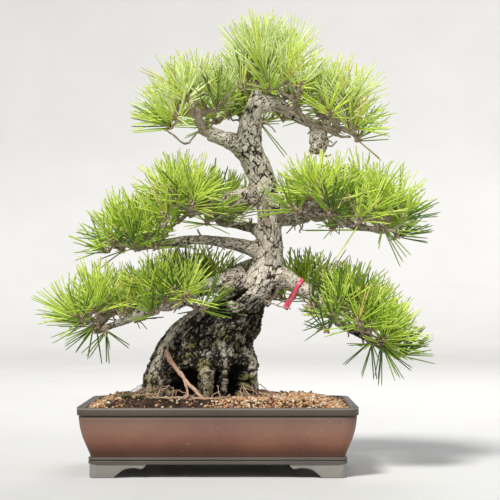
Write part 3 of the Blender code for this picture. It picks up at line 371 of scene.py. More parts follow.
# Cushions of moss: x, y, half sizes, number of blades
MOSS_PATCHES = (
    (-0.132, -0.052, 0.016, 0.012, 420),
    (-0.112, -0.062, 0.012, 0.008, 240),
    (0.070, 0.052, 0.012, 0.014, 260),
    (-0.070, 0.078, 0.018, 0.010, 300),
    (-0.126, 0.020, 0.010, 0.016, 240),
)
MOSS_BLADE = (0.0016, 0.0034)
MOSS_BLADE_RADIUS = 0.0006

# Open places that no needle crosses: centre and radius
CLEAR_SPOTS = (
    (0.008, -0.080, 0.266, 0.022),
    (0.026, -0.080, 0.246, 0.020),
    (-0.074, -0.074, 0.211, 0.020),
    (-0.101, -0.090, 0.205, 0.021),
    (-0.101, -0.062, 0.205, 0.021),
    (-0.101, -0.034, 0.205, 0.021),
)

# Bark
WOOD_VOXEL = 0.0014
TRUNK_PLATE = 0.0104
BOUGH_PLATE = 0.0062
# The plates are longer along the limb
PLATE_STRETCH = (1.0, 1.0, 0.58)

# Blank red tag on the low right bough
TAG_BOUGH = "low_right"
TAG_PLACE = 0.30
TAG_WIDTH = 0.0058
TAG_SPREAD = 0.0034
TAG_SPREAD_BLEND = 0.003
TAG_TWIST = 0.10
TAG_THICKNESS = 0.0008
TAG_LENGTH = 0.036
TAG_SLACK = 0.0014
TAG_END_RADIUS = 0.0043
# No needle hangs in front of the tag, at these distances from it
TAG_VIEW = (0.010, 0.030, 0.050, 0.070, 0.090)
TAG_CLEARANCE = 0.003
# Section of the strip: share of half its width, share of half its thickness
TAG_SECTION = ((-1, 0), (-0.94, 1), (-0.3, 1), (0.3, 1), (0.94, 1), (1, 0), (0.94, -1), (0, -1), (-0.94, -1))
TAG_STEPS = 90

# Foliage masses: name, bough that carries it, centre and half sizes of the layer of shoots,
# fall per metre to the right, number of shoots
MASSES = (
    ("low_left_outer", "low_left", (-0.166, -0.024, 0.236), (0.064, 0.076, 0.026), 0.06, 14),
    ("low_left_inner", "low_left_front", (-0.074, -0.046, 0.256), (0.050, 0.056, 0.024), 0.12, 10),
    ("low_back_left", "low_back_left", (-0.048, 0.096, 0.266), (0.094, 0.056, 0.026), 0.05, 11),
    ("low_right", "low_right", (0.207, -0.026, 0.224), (0.067, 0.078, 0.036), -0.50, 16),
    ("low_back_right", "low_back_right", (0.150, 0.096, 0.260), (0.080, 0.056, 0.028), -0.15, 10),
    ("mid_left_outer", "mid_left", (-0.123, -0.024, 0.346), (0.058, 0.070, 0.024), 0.12, 12),
    ("mid_left_inner", "mid_left_upper", (-0.052, -0.034, 0.394), (0.044, 0.062, 0.026), 0.18, 10),
    ("mid_back_left", "mid_back_left", (-0.014, 0.092, 0.386), (0.080, 0.052, 0.028), 0.05, 9),
    ("mid_right_outer", "mid_right", (0.222, -0.020, 0.386), (0.062, 0.068, 0.030), -0.22, 13),
    ("mid_right_inner", "mid_right_front", (0.150, -0.050, 0.406), (0.042, 0.048, 0.022), 0.10, 8),
    ("mid_back_right", "mid_back_right", (0.164, 0.092, 0.386), (0.078, 0.052, 0.026), -0.08, 9),
    ("top_left", "top_left", (-0.036, -0.014, 0.545), (0.060, 0.062, 0.032), 0.36, 13),
    ("top_back", "top_back", (0.036, 0.086, 0.540), (0.078, 0.042, 0.026), 0.0, 8),
    ("apex", "trunk", (0.072, -0.013, 0.582), (0.061, 0.060, 0.050), 0.0, 16),
    ("top_right", "top_right", (0.170, -0.016, 0.536), (0.038, 0.056, 0.034), -0.40, 11),
)
FOLIAGE_NODES = [f"foliage_{spec[0]}" for spec in MASSES]
# Shoots that droop at the end of a bough: mass, place, lean, vigour
END_SHOOTS = (
    ("low_right", (0.2400, -0.052, 0.1830), (0.55, -0.20, -0.78), 0.72),
    ("low_right", (0.2230, -0.060, 0.1890), (0.20, -0.45, -0.50), 0.50),
    ("low_left_outer", (-0.1830, -0.066, 0.2120), (-0.62, -0.25, -0.50), 0.72),
    ("low_left_outer", (-0.1640, -0.064, 0.2060), (-0.05, -0.40, -0.80), 0.35),
    ("mid_right_outer", (0.2440, -0.044, 0.3560), (0.85, -0.20, -0.22), 0.60),
)
SHOOT_RISE = 1.20
SHOOT_DROOP = 0.80
SHOOT_JITTER = 0.008
SHOOT_TRIES = 10
SHOOT_SHIFT = 0.0025
SHOOT_CLEARANCE = 0.003
SHOOT_MARGIN = 0.003
# Finer shoots beside a main one: how many, how far from its twig's end, length, vigour, margin
SIDE_SHOOTS = (0, 1, 1)
SIDE_SHOOT_JOINTS = (3, 4, 5)
SIDE_SHOOT_LENGTH = (0.020, 0.034)
SIDE_SHOOT_VIGOUR = (0.70, 0.95)
SIDE_SHOOT_MARGIN = 0.002
SHOOT_HEEL = 0.014
SHOOT_LEAD = 0.004
TWIG_SAG = 0.12
TWIG_STEP = 0.006
TWIG_WOBBLE = 0.0013
TWIG_RADIUS = 0.0016
TWIG_GROWTH = 0.43
APEX_TWIG = 0.0062
GOLDEN_ANGLE = math.pi * (3 - math.sqrt(5))
CELL_MARGIN = 0.0012

# Needles stand in pairs round the last part of each shoot
NEEDLE_LENGTH = 0.060
NEEDLE_RADIUS = 0.00108
NEEDLE_STEPS = np.array((0.0, 0.11, 0.52, 0.94, 1.0))
NEEDLE_TAPER = np.array((0.80, 1.0, 1.0, 0.80, 0.40))
BRUSH_LENGTH = 0.0165
BRUSH_SCALES = 16
SCALE_RADIUS = 0.0012
BUD_WIDTH = 0.0058
BUD_PROFILE = (0.30, 0.42, 0.40, 0.22, 0.06)
# Swelling of a twig's last four points, under the scales
TWIG_TIP = (1.15, 1.35, 1.45, 1.0)
# Fewest and most pairs of needles in a brush, and how wide one opens, in degrees
BRUSH_PAIRS = (13, 18)
BRUSH_OPENINGS = (50, 58, 66, 74, 82)
# Brushes at the top of the crown are longer and narrower
CROWN_REACH = 1.12
CROWN_CLOSING = 16
# Needles that stand out of their brush: their share, least and most turn in degrees
STRAY_SHARE = 0.04
STRAY_TURN = (25, 60)
# The two needles of a pair: half the gap at their root, how far they part, how much they bend and sag
PAIR_GAP = 0.0006
PAIR_PARTING = (0.04, 0.13)
NEEDLE_BEND = 0.022
NEEDLE_SAG = (-0.05, 0.03)
# How far a needle's tip may pass the plane between two masses, and its gap to the limbs
CELL_OVERLAP = 0.018
NEEDLE_CLEARANCE = 0.0008
CROWN_TOP = 0.585
# Needles that hang lower than this are mostly plucked
NEEDLE_LOWEST = -0.22
PLUCKED_SHARE = 0.80
PIECE_LIMIT = 190000

# Needle greens as painted light and shade, from the brightest, sunlit shoots to the ones in shade, and dead
# straw
NEEDLE_COLOURS = {
    "sunlit": (0.800, 0.920, 0.440),
    "lime": (0.790, 0.900, 0.215),
    "spring": (0.660, 0.840, 0.115),
    "leaf": (0.480, 0.670, 0.068),
    "deep": (0.260, 0.410, 0.040),
    "dark": (0.095, 0.175, 0.028),
    "straw": (0.700, 0.540, 0.180),
}

# Light on a shoot: at the layer's height, gain up the mass, loss at its edge, gain up the tree,
# the height where that is none, scatter
LIGHT_BASE = 0.55
LIGHT_UP_MASS = 0.9
LIGHT_LOSS_AT_EDGE = 0.2
LIGHT_PER_METRE = 1.9
LIGHT_LEVEL = 0.30
LIGHT_SCATTER = 0.45
# Brightest shade, a painted highlight on the top of the crown: least light, and between which heights it sets
# in
SUNLIT_LIGHT = 0.55
SUNLIT_HEIGHTS = (0.40, 0.58)
# Least light for each other shade
SHADE_STEPS = (("lime", 1.15), ("spring", 0.62), ("leaf", 0.10), ("deep", -0.45))
# A draw below each of these makes a pair of needles dead, two shades darker, one darker, one brighter
DEAD_DRAW = 0.012
MUCH_DARKER_DRAW = 0.10
DARKER_DRAW = 0.36
BRIGHTER_DRAW = 0.50

# Painted light and shade up the pot, in bands: ten times the height in metres, and what the colour is
# multiplied by
# On the wall: painted shade, darker towards the belt under the wall's bulge and just under the rim
WALL_PAINTED_SHADE = (
    (0.30, (0.36, 0.28, 0.23)),
    (0.37, (0.42, 0.33, 0.27)),
    (0.44, (0.66, 0.53, 0.44)),
    (0.51, (0.90, 0.76, 0.66)),
    (0.64, (1.00, 0.98, 0.97)),
    (0.76, (0.88, 0.93, 0.95)),
    (0.83, (0.68, 0.81, 0.84)),
    (0.88, (0.60, 0.71, 0.75)),
)
# On the feet, belt and rim: the feet painted light, the rim band darker towards its lower edge, and a painted
# highlight along the rim's rounded top edge
RIM_PAINTED_LIGHT = (
    (0.195, (0.98, 0.98, 0.98)),
    (0.210, (0.36, 0.34, 0.31)),
    (0.300, (0.36, 0.34, 0.31)),
    (0.880, (0.22, 0.18, 0.15)),
    (0.925, (0.31, 0.26, 0.23)),
    (0.970, (0.36, 0.31, 0.28)),
    (0.982, (1.00, 0.93, 0.86)),
    (0.994, (0.90, 0.82, 0.75)),
    (0.998, (0.33, 0.30, 0.27)),
)

# Clay: light, dark and speck colour, roughness, bands of painted light and shade, how much the bands wander
CLAYS = {
    "wall": ((0.330, 0.172, 0.124), (0.205, 0.103, 0.077), (0.52, 0.43, 0.36), 0.58, WALL_PAINTED_SHADE, 0.08),
    "rim": ((0.320, 0.300, 0.272), (0.205, 0.190, 0.170), (0.50, 0.46, 0.42), 0.52, RIM_PAINTED_LIGHT, 0.0),
}
# Twigs and roots, and below them the grains: dark, middle and light colour
TWIG_TONES = {
    "twig": ((0.150, 0.108, 0.075), (0.380, 0.300, 0.225), (0.620, 0.540, 0.430)),
    "root": ((0.200, 0.130, 0.080), (0.400, 0.290, 0.190), (0.580, 0.460, 0.330)),
    "young_root": ((0.230, 0.105, 0.060), (0.480, 0.285, 0.185), (0.720, 0.540, 0.400)),
    "bud": ((0.480, 0.290, 0.175), (0.700, 0.560, 0.420), (0.870, 0.790, 0.670)),
    "sheath": ((0.340, 0.220, 0.110), (0.480, 0.360, 0.210), (0.600, 0.500, 0.330)),
}
GRAIN_TONES = {
    "bed": ((0.025, 0.014, 0.010), (0.060, 0.034, 0.022), (0.120, 0.070, 0.045)),
    "pumice": ((0.560, 0.460, 0.330), (0.740, 0.650, 0.520), (0.860, 0.800, 0.700)),
    "akadama": ((0.340, 0.140, 0.055), (0.540, 0.260, 0.115), (0.680, 0.400, 0.210)),
    "lava": ((0.100, 0.045, 0.028), (0.220, 0.095, 0.060), (0.340, 0.170, 0.110)),
    "tan": ((0.380, 0.235, 0.115), (0.580, 0.400, 0.220), (0.720, 0.550, 0.350)),
    "humus": ((0.012, 0.009, 0.006), (0.035, 0.025, 0.017), (0.100, 0.075, 0.050)),
}
# Names of the materials that are called otherwise than their key
MATERIAL_NAMES = {
    "twig": "twig_bark",
    "root": "root_bark",
    "bud": "bud_scales",
    "sheath": "needle_sheath",
    "bed": "soil_bed",
    "lava": "lava_grit",
    "tan": "tan_grit",
}
# The dry tip of a needle: its colour, and how much of it is mixed into the needle's own
TIP_COLOUR = (0.62, 0.55, 0.26)
TIP_SHARE = 0.55


# Noise and cell patterns on arrays of points

def hashed(cells, seed):
    """A number from 0 to 1 for each row of whole numbers."""
    mixed = (cells[..., 0] * 374761393 + cells[..., 1] * 668265263
             + cells[..., 2] * 1440662683 + seed * 97471171) & 0xFFFFFFFF
    mixed = ((mixed ^ (mixed >> 13)) * 1274126177) & 0xFFFFFFFF
    return ((mixed ^ (mixed >> 16)) & 0xFFFFFF) / 0xFFFFFF


def noise(points, seed):
    """Smooth noise from -1 to 1."""
    base = np.floor(points).astype(np.int64)
    part = points - base
    ease = part ** 3 * (part * (part * 6 - 15) + 10)
    total = np.zeros(len(points))
    for corner in range(8):
        offset = np.array([(corner >> axis) & 1 for axis in range(3)])
        weight = np.prod(np.where(offset, ease, 1 - ease), axis=1)
        total += weight * hashed(base + offset, seed)
    return 2 * total - 1


def layered(points, seed, layers):
    """Sum of noises, each twice as fine and half as strong as the one before."""
    total = np.zeros(len(points))
    for layer in range(layers):
        total += noise(points * 2 ** layer, seed + layer) / 2 ** layer
    return total


def cell_pattern(points, seed):
    """Distances to the nearest two scattered seeds, the nearest one's number and the way to it."""
    base = np.floor(points).astype(np.int64)
    first = np.full(len(points), 9.0)
    second = first.copy()
    number = np.zeros(len(points))
    way = np.zeros((len(points), 3))
    for step in range(27):
        cell = base + np.array((step % 3 - 1, step // 3 % 3 - 1, step // 9 - 1))
        place = cell + 0.1 + 0.8 * np.stack([hashed(cell, seed + k) for k in range(3)], axis=1)
        gap = place - points
        distance = np.linalg.norm(gap, axis=1)
        closer = distance < first
        second = np.where(closer, first, np.minimum(second, distance))
        first = np.where(closer, distance, first)
        number = np.where(closer, hashed(cell, seed + 3), number)
        way = np.where(closer[:, None], gap, way)
    return first, second, number, way


def eased(values, low, high):
    """0 below the low value, 1 above the high one, smooth between them."""
    t = np.clip((values - low) / (high - low), 0, 1)
    return t * t * (3 - 2 * t)


def unit(vectors):
    """Rows of an array, each brought to length one."""
    return vectors / np.linalg.norm(vectors, axis=1)[:, None]


def distances_along(line):
    """How far each point of a line is from its start."""
    return np.concatenate(([0], np.cumsum(np.linalg.norm(np.diff(line, axis=0), axis=1))))


def jitter(rng, spread):
    """A random vector with the same spread on each axis."""
    return Vector([rng.gauss(0, spread) for _ in range(3)])


def spoke(angle):
    """Level unit vector at an angle from the x axis."""
    return Vector((math.cos(angle), math.sin(angle), 0))


# Mesh making

def add_object(name, data):
    """A new object, linked to the scene."""
    item = bpy.data.objects.new(name, data)
    bpy.context.scene.collection.objects.link(item)
    return item


def band(first, second, count):
    """Quads between two rings of points, from the number of each ring's first point."""
    k = np.arange(count)
    after = (k + 1) % count
    return np.stack((first + k, first + after, second + after, second + k), axis=1)


def fans(count, last, middles):
    """Triangles from the first and the last ring of points to the two middle points."""
    k = np.arange(count)
    after = (k + 1) % count
    return np.concatenate((np.stack((after, k, np.full(count, middles)), axis=1),
                           np.stack((last + k, last + after, np.full(count, middles + 1)), axis=1)))


def mesh_piece(name, points, faces, materials, slot, face_slots=None, smooth=True, nodes=()):
    """An object from an array of points and one or more arrays of faces, riding on the plant."""
    groups = faces if isinstance(faces, list) else [faces]
    groups = [np.asarray(group, dtype=np.int32) for group in groups if len(group)]
    corners = np.concatenate([group.ravel() for group in groups])
    sides = np.concatenate([np.full(len(group), group.shape[1]) for group in groups])
    starts = np.concatenate(([0], np.cumsum(sides)[:-1])).astype(np.int32)
    mesh = bpy.data.meshes.new(name)
    mesh.vertices.add(len(points))
    mesh.vertices.foreach_set("co", (np.asarray(points) + np.array(ORIGIN)).astype(np.float32).ravel())
    mesh.loops.add(len(corners))
    mesh.loops.foreach_set("vertex_index", corners)
    mesh.polygons.add(len(sides))
    mesh.polygons.foreach_set("loop_start", starts)
    mesh.update(calc_edges=True)
    for one in materials:
        mesh.materials.append(one)
    if face_slots is not None:
        mesh.polygons.foreach_set("material_index", np.asarray(face_slots, dtype=np.int32))
    if smooth:
        mesh.shade_smooth()
    mesh.validate()
    piece = add_object(name, mesh)
    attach(piece, "root")
    if nodes:
        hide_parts(*nodes)
    return piece


def smooth_curve(points, step):
    """Points along a Catmull-Rom curve, about a step apart."""
    points = [Vector(point) for point in points]
    ends = [points[0] * 2 - points[1]] + points + [points[-1] * 2 - points[-2]]
    curve = []
    for a, b, c, d in zip(ends, ends[1:], ends[2:], ends[3:]):
        count = max(1, round((c - b).length / step))
        for i in range(count):
            t = i / count
            curve.append(0.5 * ((2 * b) + (c - a) * t + (2 * a - 5 * b + 4 * c - d) * t * t
                                + (3 * b - 3 * c + d - a) * t ** 3))
    curve.append(points[-1])
    return curve


def line_frames(line):
    """Directions along a line, and two across it that turn with it without twisting."""
    line = np.asarray(line, dtype=float)
    ahead = unit(np.gradient(line, axis=0))
    start = np.cross(ahead[0], (0.0, 0.0, 1.0))
    if np.linalg.norm(start) < 0.2:
        start = np.cross(ahead[0], (0.0, 1.0, 0.0))
    across = [start / np.linalg.norm(start)]
    for direction in ahead[1:]:
        turned = across[-1] - direction * (across[-1] @ direction)
        across.append(turned / np.linalg.norm(turned))
    across = np.array(across)
    return ahead, across, np.cross(ahead, across)


def tube(line, radii, sides):
    """Points and triangles of a closed tube along a line, with a point at each end."""
    line = np.asarray(line, dtype=float)
    radii = np.asarray(radii, dtype=float)
    ahead, across, third = line_frames(line)
    angles = 2 * math.pi * np.arange(sides) / sides
    ring = np.cos(angles)[None, :, None] * across[:, None] + np.sin(angles)[None, :, None] * third[:, None]
    points = (line[:, None] + ring * radii[:, None, None]).reshape(-1, 3)
    points = np.vstack((points, line[0], line[-1] + ahead[-1] * 0.5 * radii[-1]))
    faces = []
    for i in range(len(line) - 1):
        quads = band(i * sides, (i + 1) * sides, sides)
        faces += [quads[:, [0, 1, 2]], quads[:, [0, 2, 3]]]
    faces.append(fans(sides, (len(line) - 1) * sides, len(line) * sides))
    return points, np.concatenate(faces)


def rough_tube(line, radii, sides, amount, grain, seed):
    """A tube whose radii vary with a noise of the given grain."""
    places = np.array([tuple(point) for point in line])
    return tube(line, radii * (1 + amount * noise(places / grain, seed)), sides)


def joined(shapes):
    """One array of points and one of faces from several such pairs."""
    points = []
    faces = []
    total = 0
    for some_points, some_faces in shapes:
        points.append(some_points)
        faces.append(np.asarray(some_faces) + total)
        total += len(some_points)
    return np.concatenate(points), np.concatenate(faces)


# Materials

class Shader:
    """Builds one material out of nodes."""

    def __init__(self, name, **settings):
        self.material = bpy.data.materials.new(name)
        self.material.use_nodes = True
        self.tree = self.material.node_tree
        self.surface = self.tree.nodes["Principled BSDF"]
        for key, value in settings.items():
            self.surface.inputs[key.replace("_", " ")].default_value = value

    def add(self, kind, **settings):
        node = self.tree.nodes.new(kind)
        for key, value in settings.items():
            setattr(node, key, value)
        return node

    def feed(self, socket, value):
        if isinstance(value, bpy.types.NodeSocket):
            self.tree.links.new(value, socket)
        elif isinstance(value, tuple) and len(value) == 3 and socket.type == "RGBA":
            socket.default_value = (*value, 1.0)
        else:
            socket.default_value = value

    def place(self):
        return self.add("ShaderNodeTexCoord").outputs["Object"]

    def attribute(self, name, output="Color"):
        return self.add("ShaderNodeAttribute", attribute_name=name).outputs[output]

    def split(self, colour):
        node = self.add("ShaderNodeSeparateColor")
        self.feed(node.inputs[0], colour)
        return node.outputs

    def noise(self, vector, scale, detail=4.0, roughness=0.55, distortion=0.0):
        node = self.add("ShaderNodeTexNoise")
        self.feed(node.inputs["Vector"], vector)
        for key, value in (("Scale", scale), ("Detail", detail), ("Roughness", roughness),
                           ("Distortion", distortion)):
            node.inputs[key].default_value = value
        return node.outputs["Fac"]

    def cells(self, vector, scale, feature="F1"):
        node = self.add("ShaderNodeTexVoronoi", feature=feature)
        self.feed(node.inputs["Vector"], vector)
        node.inputs["Scale"].default_value = scale
        return node.outputs["Distance"]

    def ramp(self, value, *stops):
        node = self.add("ShaderNodeValToRGB")
        self.feed(node.inputs[0], value)
        elements = node.color_ramp.elements
        while len(elements) < len(stops):
            elements.new(0.5)
        for element, (place, colour) in zip(elements, stops):
            element.position = place
            colour = (colour,) * 3 if isinstance(colour, (int, float)) else colour
            element.color = (*colour, 1.0)
        return node.outputs[0]

    def mix(self, share, first, second, blend="MIX"):
        node = self.add("ShaderNodeMix", data_type="RGBA", blend_type=blend)
        self.feed(node.inputs[0], share)
        self.feed(node.inputs[6], first)
        self.feed(node.inputs[7], second)
        return node.outputs[2]

    def sum(self, operation, first, second):
        node = self.add("ShaderNodeMath", operation=operation)
        self.feed(node.inputs[0], first)
        self.feed(node.inputs[1], second)
        return node.outputs[0]

    def stretch(self, vector, scale):
        node = self.add("ShaderNodeVectorMath", operation="MULTIPLY")
        self.feed(node.inputs[0], vector)
        node.inputs[1].default_value = scale
        return node.outputs[0]

    def height(self, vector):
        node = self.add("ShaderNodeSeparateXYZ")
        self.feed(node.inputs[0], vector)
        return node.outputs["Z"]

    def bump(self, height, strength, distance):
        node = self.add("ShaderNodeBump")
        node.inputs["Strength"].default_value = strength
        node.inputs["Distance"].default_value = distance
        self.feed(node.inputs["Height"], height)
        self.feed(self.surface.inputs["Normal"], node.outputs["Normal"])

    def finish(self, colour=None, roughness=None):
        if colour is not None:
            self.feed(self.surface.inputs["Base Color"], colour)
        if roughness is not None:
            self.feed(self.surface.inputs["Roughness"], roughness)
        return self.material


def clay_material(name, light, dark, speck, roughness, bands, wander):
    """Unglazed fired clay: clouds, fine grain, pale specks and bands of painted light and shade up the pot.
    """
    shader = Shader(name, Specular_IOR_Level=0.35)
    place = shader.place()
    cloud = shader.noise(place, 9.0, 5.0, 0.6)
    colour = shader.ramp(cloud, (0.30, dark), (0.72, light))
    streak = shader.noise(shader.stretch(place, (60.0, 60.0, 14.0)), 1.0, 6.0, 0.65)
    colour = shader.mix(shader.ramp(streak, (0.35, 0.0), (0.80, 0.30)), colour, light)
    # The bands by height multiply in the painted light and shade up the pot
    rise = shader.sum("MULTIPLY", shader.height(place), 10.0)
    rise = shader.sum("ADD", rise, shader.sum("MULTIPLY", shader.sum("SUBTRACT", cloud, 0.5), wander))
    colour = shader.mix(1.0, colour, shader.ramp(rise, *bands), "MULTIPLY")
    grain = shader.noise(place, 900.0, 3.0, 0.7)
    colour = shader.mix(0.22, colour, shader.ramp(grain, (0.30, 0.02), (0.70, 0.45)), "OVERLAY")
    spots = shader.cells(place, 95.0)
    wide = shader.noise(place, 22.0, 2.0, 0.5)
    spots = shader.sum("ADD", spots, shader.sum("MULTIPLY", wide, 0.30))
    colour = shader.mix(shader.ramp(spots, (0.165, 0.55), (0.215, 0.0)), colour, speck)
    shader.bump(shader.sum("ADD", grain, shader.sum("MULTIPLY", streak, 0.6)), 0.35, 0.0006)
    return shader.finish(colour, shader.ramp(cloud, (0.2, roughness - 0.08), (0.8, roughness + 0.08)))


def bark_material():
    """Flaky grey-beige plates over dark fissures, sooty and mossy towards the foot, with painted light and
    shade in bands up the trunk.
    """
    shader = Shader("pine_bark", Specular_IOR_Level=0.25)
    place = shader.place()
    grain = shader.attribute("grain", "Vector")
    fissure, plate, moss = shader.split(shader.attribute("bark"))[0:3]
    age = shader.attribute("bark", "Alpha")
    flake = shader.cells(grain, 2.6, "DISTANCE_TO_EDGE")
    fine = shader.noise(grain, 3.2, 8.0, 0.68, 0.6)
    dust = shader.noise(place, 620.0, 4.0, 0.7)
    pale = shader.ramp(fine, (0.34, (0.290, 0.235, 0.170)), (0.45, (0.620, 0.550, 0.435)),
                       (0.58, (0.880, 0.820, 0.700)))
    warm = shader.ramp(fine, (0.36, (0.120, 0.085, 0.058)), (0.50, (0.360, 0.290, 0.210)),
                       (0.64, (0.640, 0.560, 0.445)))
    colour = shader.mix(shader.ramp(plate, (0.50, 0.0), (0.85, 1.0)), pale, warm)
    height = shader.height(place)
    # Painted light: the bark is paled in bands by height, below the low boughs and most towards the top
    painted_light = shader.ramp(height, (0.270, 0.30), (0.300, 0.24), (0.318, 0.0), (0.395, 0.0),
                           (0.450, 0.58))
    colour = shader.mix(painted_light, colour, (0.900, 0.840, 0.710))
    # Painted shade: a darker band up the trunk where the middle boughs leave it
    painted_shade = shader.ramp(height, (0.300, 1.0), (0.325, 0.82), (0.365, 0.82), (0.400, 1.0))
    colour = shader.mix(1.0, colour, painted_shade, "MULTIPLY")
    old = shader.ramp(fine, (0.43, (0.006, 0.005, 0.003)), (0.50, (0.040, 0.033, 0.022)),
                      (0.56, (0.240, 0.205, 0.145)), (0.64, (0.560, 0.500, 0.380)))
    colour = shader.mix(age, colour, old)
    green = shader.ramp(dust, (0.30, (0.075, 0.072, 0.012)), (0.70, (0.400, 0.370, 0.075)))
    colour = shader.mix(moss, colour, green)
    edge = shader.ramp(flake, (0.0, 1.0), (0.055, 0.0))
    edge = shader.sum("MULTIPLY", edge, shader.ramp(dust, (0.35, 0.15), (0.65, 0.70)))
    colour = shader.mix(edge, colour, (0.050, 0.038, 0.028))
    crack = shader.mix(age, (0.044, 0.029, 0.018), (0.003, 0.002, 0.001))
    colour = shader.mix(shader.ramp(fissure, (0.14, 1.0), (0.62, 0.0)), colour, crack)
    relief = shader.sum("ADD", shader.sum("MULTIPLY", fine, 0.8), shader.sum("MULTIPLY", dust, 0.35))
    relief = shader.sum("SUBTRACT", relief, shader.sum("MULTIPLY", edge, 0.5))
    shader.bump(relief, 0.8, 0.0016)
    return shader.finish(colour, 0.9)


def twig_material(name, dark, middle, light):
    """Fibrous bark of twigs and roots, or papery scales."""
    shader = Shader(name, Specular_IOR_Level=0.25)
    place = shader.place()
    coarse = shader.noise(place, 170.0, 6.0, 0.7)
    fine = shader.noise(place, 700.0, 4.0, 0.7)
    colour = shader.ramp(coarse, (0.32, dark), (0.50, middle), (0.68, light))
    colour = shader.mix(0.35, colour, shader.ramp(fine, (0.35, dark), (0.65, light)))
    shader.bump(shader.sum("ADD", coarse, shader.sum("MULTIPLY", fine, 0.4)), 0.7, 0.0010)
    return shader.finish(colour, 0.88)


def needle_material(name, colour):
    """Waxy needle: one plain colour, with a fine grain in its gloss only."""
    shader = Shader(name, Specular_IOR_Level=0.30, Base_Color=(*colour, 1.0))
    grain = shader.noise(shader.place(), 900.0, 2.0, 0.5)
    return shader.finish(None, shader.ramp(grain, (0.3, 0.42), (0.7, 0.60)))


def grain_material(name, dark, middle, light):
    """Matt porous grain with patches of tone."""
    shader = Shader(name, Specular_IOR_Level=0.2)
    place = shader.place()
    patch = shader.noise(place, 130.0, 3.0, 0.6)
    fine = shader.noise(place, 900.0, 4.0, 0.7)
    colour = shader.ramp(patch, (0.30, dark), (0.50, middle), (0.70, light))
    colour = shader.mix(0.30, colour, shader.ramp(fine, (0.35, dark), (0.65, light)))
    shader.bump(fine, 0.8, 0.0008)
    return shader.finish(colour, 0.95)


# Pot

def rounded_rectangle(half_x, half_y, corner, z, corner_steps=10, side_steps=22):
    """Ring of points round a rectangle with round corners, anticlockwise from its right side."""
    middles = [Vector((side_x * (half_x - corner), side_y * (half_y - corner), z))
               for side_x, side_y in ((1, 1), (-1, 1), (-1, -1), (1, -1))]
    points = []
    for quarter, middle in enumerate(middles):
        for step in range(corner_steps + 1):
            points.append(middle + spoke(math.pi / 2 * (quarter + step / corner_steps)) * corner)
        last = points[-1]
        first = middles[(quarter + 1) % 4] + spoke(math.pi / 2 * (quarter + 1)) * corner
        for step in range(1, side_steps):
            points.append(last.lerp(first, step / side_steps))
    return np.array(points)


def pot_ring(inset, z):
    """Outline of the pot at a height, drawn in by the inset."""
    corner = max(POT_CORNER - 0.6 * inset, 0.006)
    return rounded_rectangle(POT_WIDTH / 2 - inset, POT_DEPTH / 2 - inset, corner, z)


def ring_loft(rings):
    """Points and quads through rings of equally many points, closed with a fan at each end."""
    count = len(rings[0])
    points = np.concatenate(rings + [rings[0].mean(axis=0)[None], rings[-1].mean(axis=0)[None]])
    quads = np.concatenate([band(i * count, (i + 1) * count, count) for i in range(len(rings) - 1)])
    return points, quads, fans(count, (len(rings) - 1) * count, len(rings) * count)


def rounded_profile(corners, radius, steps=4):
    """A profile of (inset, height) corners with each inner corner turned into a small arc."""
    out = [np.array(corners[0])]
    for before, here, after in zip(corners, corners[1:], corners[2:]):
        before, here, after = np.array(before), np.array(here), np.array(after)
        back = before - here
        ahead = after - here
        reach = min(radius, 0.45 * np.linalg.norm(back), 0.45 * np.linalg.norm(ahead))
        start = here + back / np.linalg.norm(back) * reach
        end = here + ahead / np.linalg.norm(ahead) * reach
        for step in range(steps + 1):
            t = step / steps
            out.append(start * (1 - t) ** 2 + here * 2 * t * (1 - t) + end * t * t)
    out.append(np.array(corners[-1]))
    return out


def wall_profile():
    """Inset and height of the curved wall, from the belt up to the rim."""
    belt_top = FOOT_HEIGHT + BELT_HEIGHT
    wall_top = POT_HEIGHT - RIM_BAND
    keys, insets = np.array(WALL_CURVE).T
    wall = []
    for share in np.linspace(0, keys[-1], WALL_STEPS):
        inset = np.interp(share, keys, insets) * (BELT_INSET + BELT_STEP)
        wall.append((inset, belt_top + SEAM + share * (wall_top - belt_top)))
    for _ in range(2):
        smoothed = [wall[0]]
        for a, b, c in zip(wall, wall[1:], wall[2:]):
            smoothed.append(((a[0] + 2 * b[0] + c[0]) / 4, b[1]))
        wall = smoothed + [wall[-1]]
    return wall


def make_pot(wall_clay, rim_clay):
    """The pot as one closed body: belt, wall, rim band and the hollow inside."""
    wall = wall_profile()
    wall_top = POT_HEIGHT - RIM_BAND
    belt = [(BELT_INSET + depth, FOOT_HEIGHT + share * BELT_HEIGHT) for depth, share in BELT_ROWS]
    rim = [(wall[-1][0] + 0.0018, wall_top - 0.0002), (0.0003, wall_top + 0.0010), (0.0, wall_top + 0.0022),
           (0.0, POT_HEIGHT - 0.0012), (0.0, POT_HEIGHT), (RIM_LIP, POT_HEIGHT),
           (RIM_LIP + 0.0012, POT_HEIGHT - 0.0030)]
    cavity = [(RIM_LIP + 0.0035, POT_HEIGHT - 1.4 * RIM_BAND), (RIM_LIP + 0.0095, 0.055),
              (BELT_INSET + 0.0174, FLOOR_HEIGHT)]
    belt = rounded_profile(belt, BELT_ROUNDING)
    rim = rounded_profile(rim, RIM_ROUNDING)
    profile = belt + [np.array(p) for p in wall] + rim + [np.array(p) for p in cavity]
    rings = [pot_ring(inset, z) for inset, z in profile]
    points, quads, ends = ring_loft(rings)
    wave = noise(points * 14 + 5, 3)
    inward = -points * np.array((1, 1, 0)) / np.linalg.norm(points[:, :2], axis=1)[:, None].clip(1e-6)
    points = points + inward * (WALL_WAVE * (1 + wave))[:, None]
    count = len(rings[0])
    bands = np.full(len(rings) - 1, 1)
    bands[len(belt):len(belt) + len(wall) - 1] = 0
    slots = np.concatenate((np.repeat(bands, count), np.full(len(ends), 1)))
    mesh_piece("pot", points, [quads, ends], [wall_clay, rim_clay], "pot_clay", slots, nodes=["pot_body"])


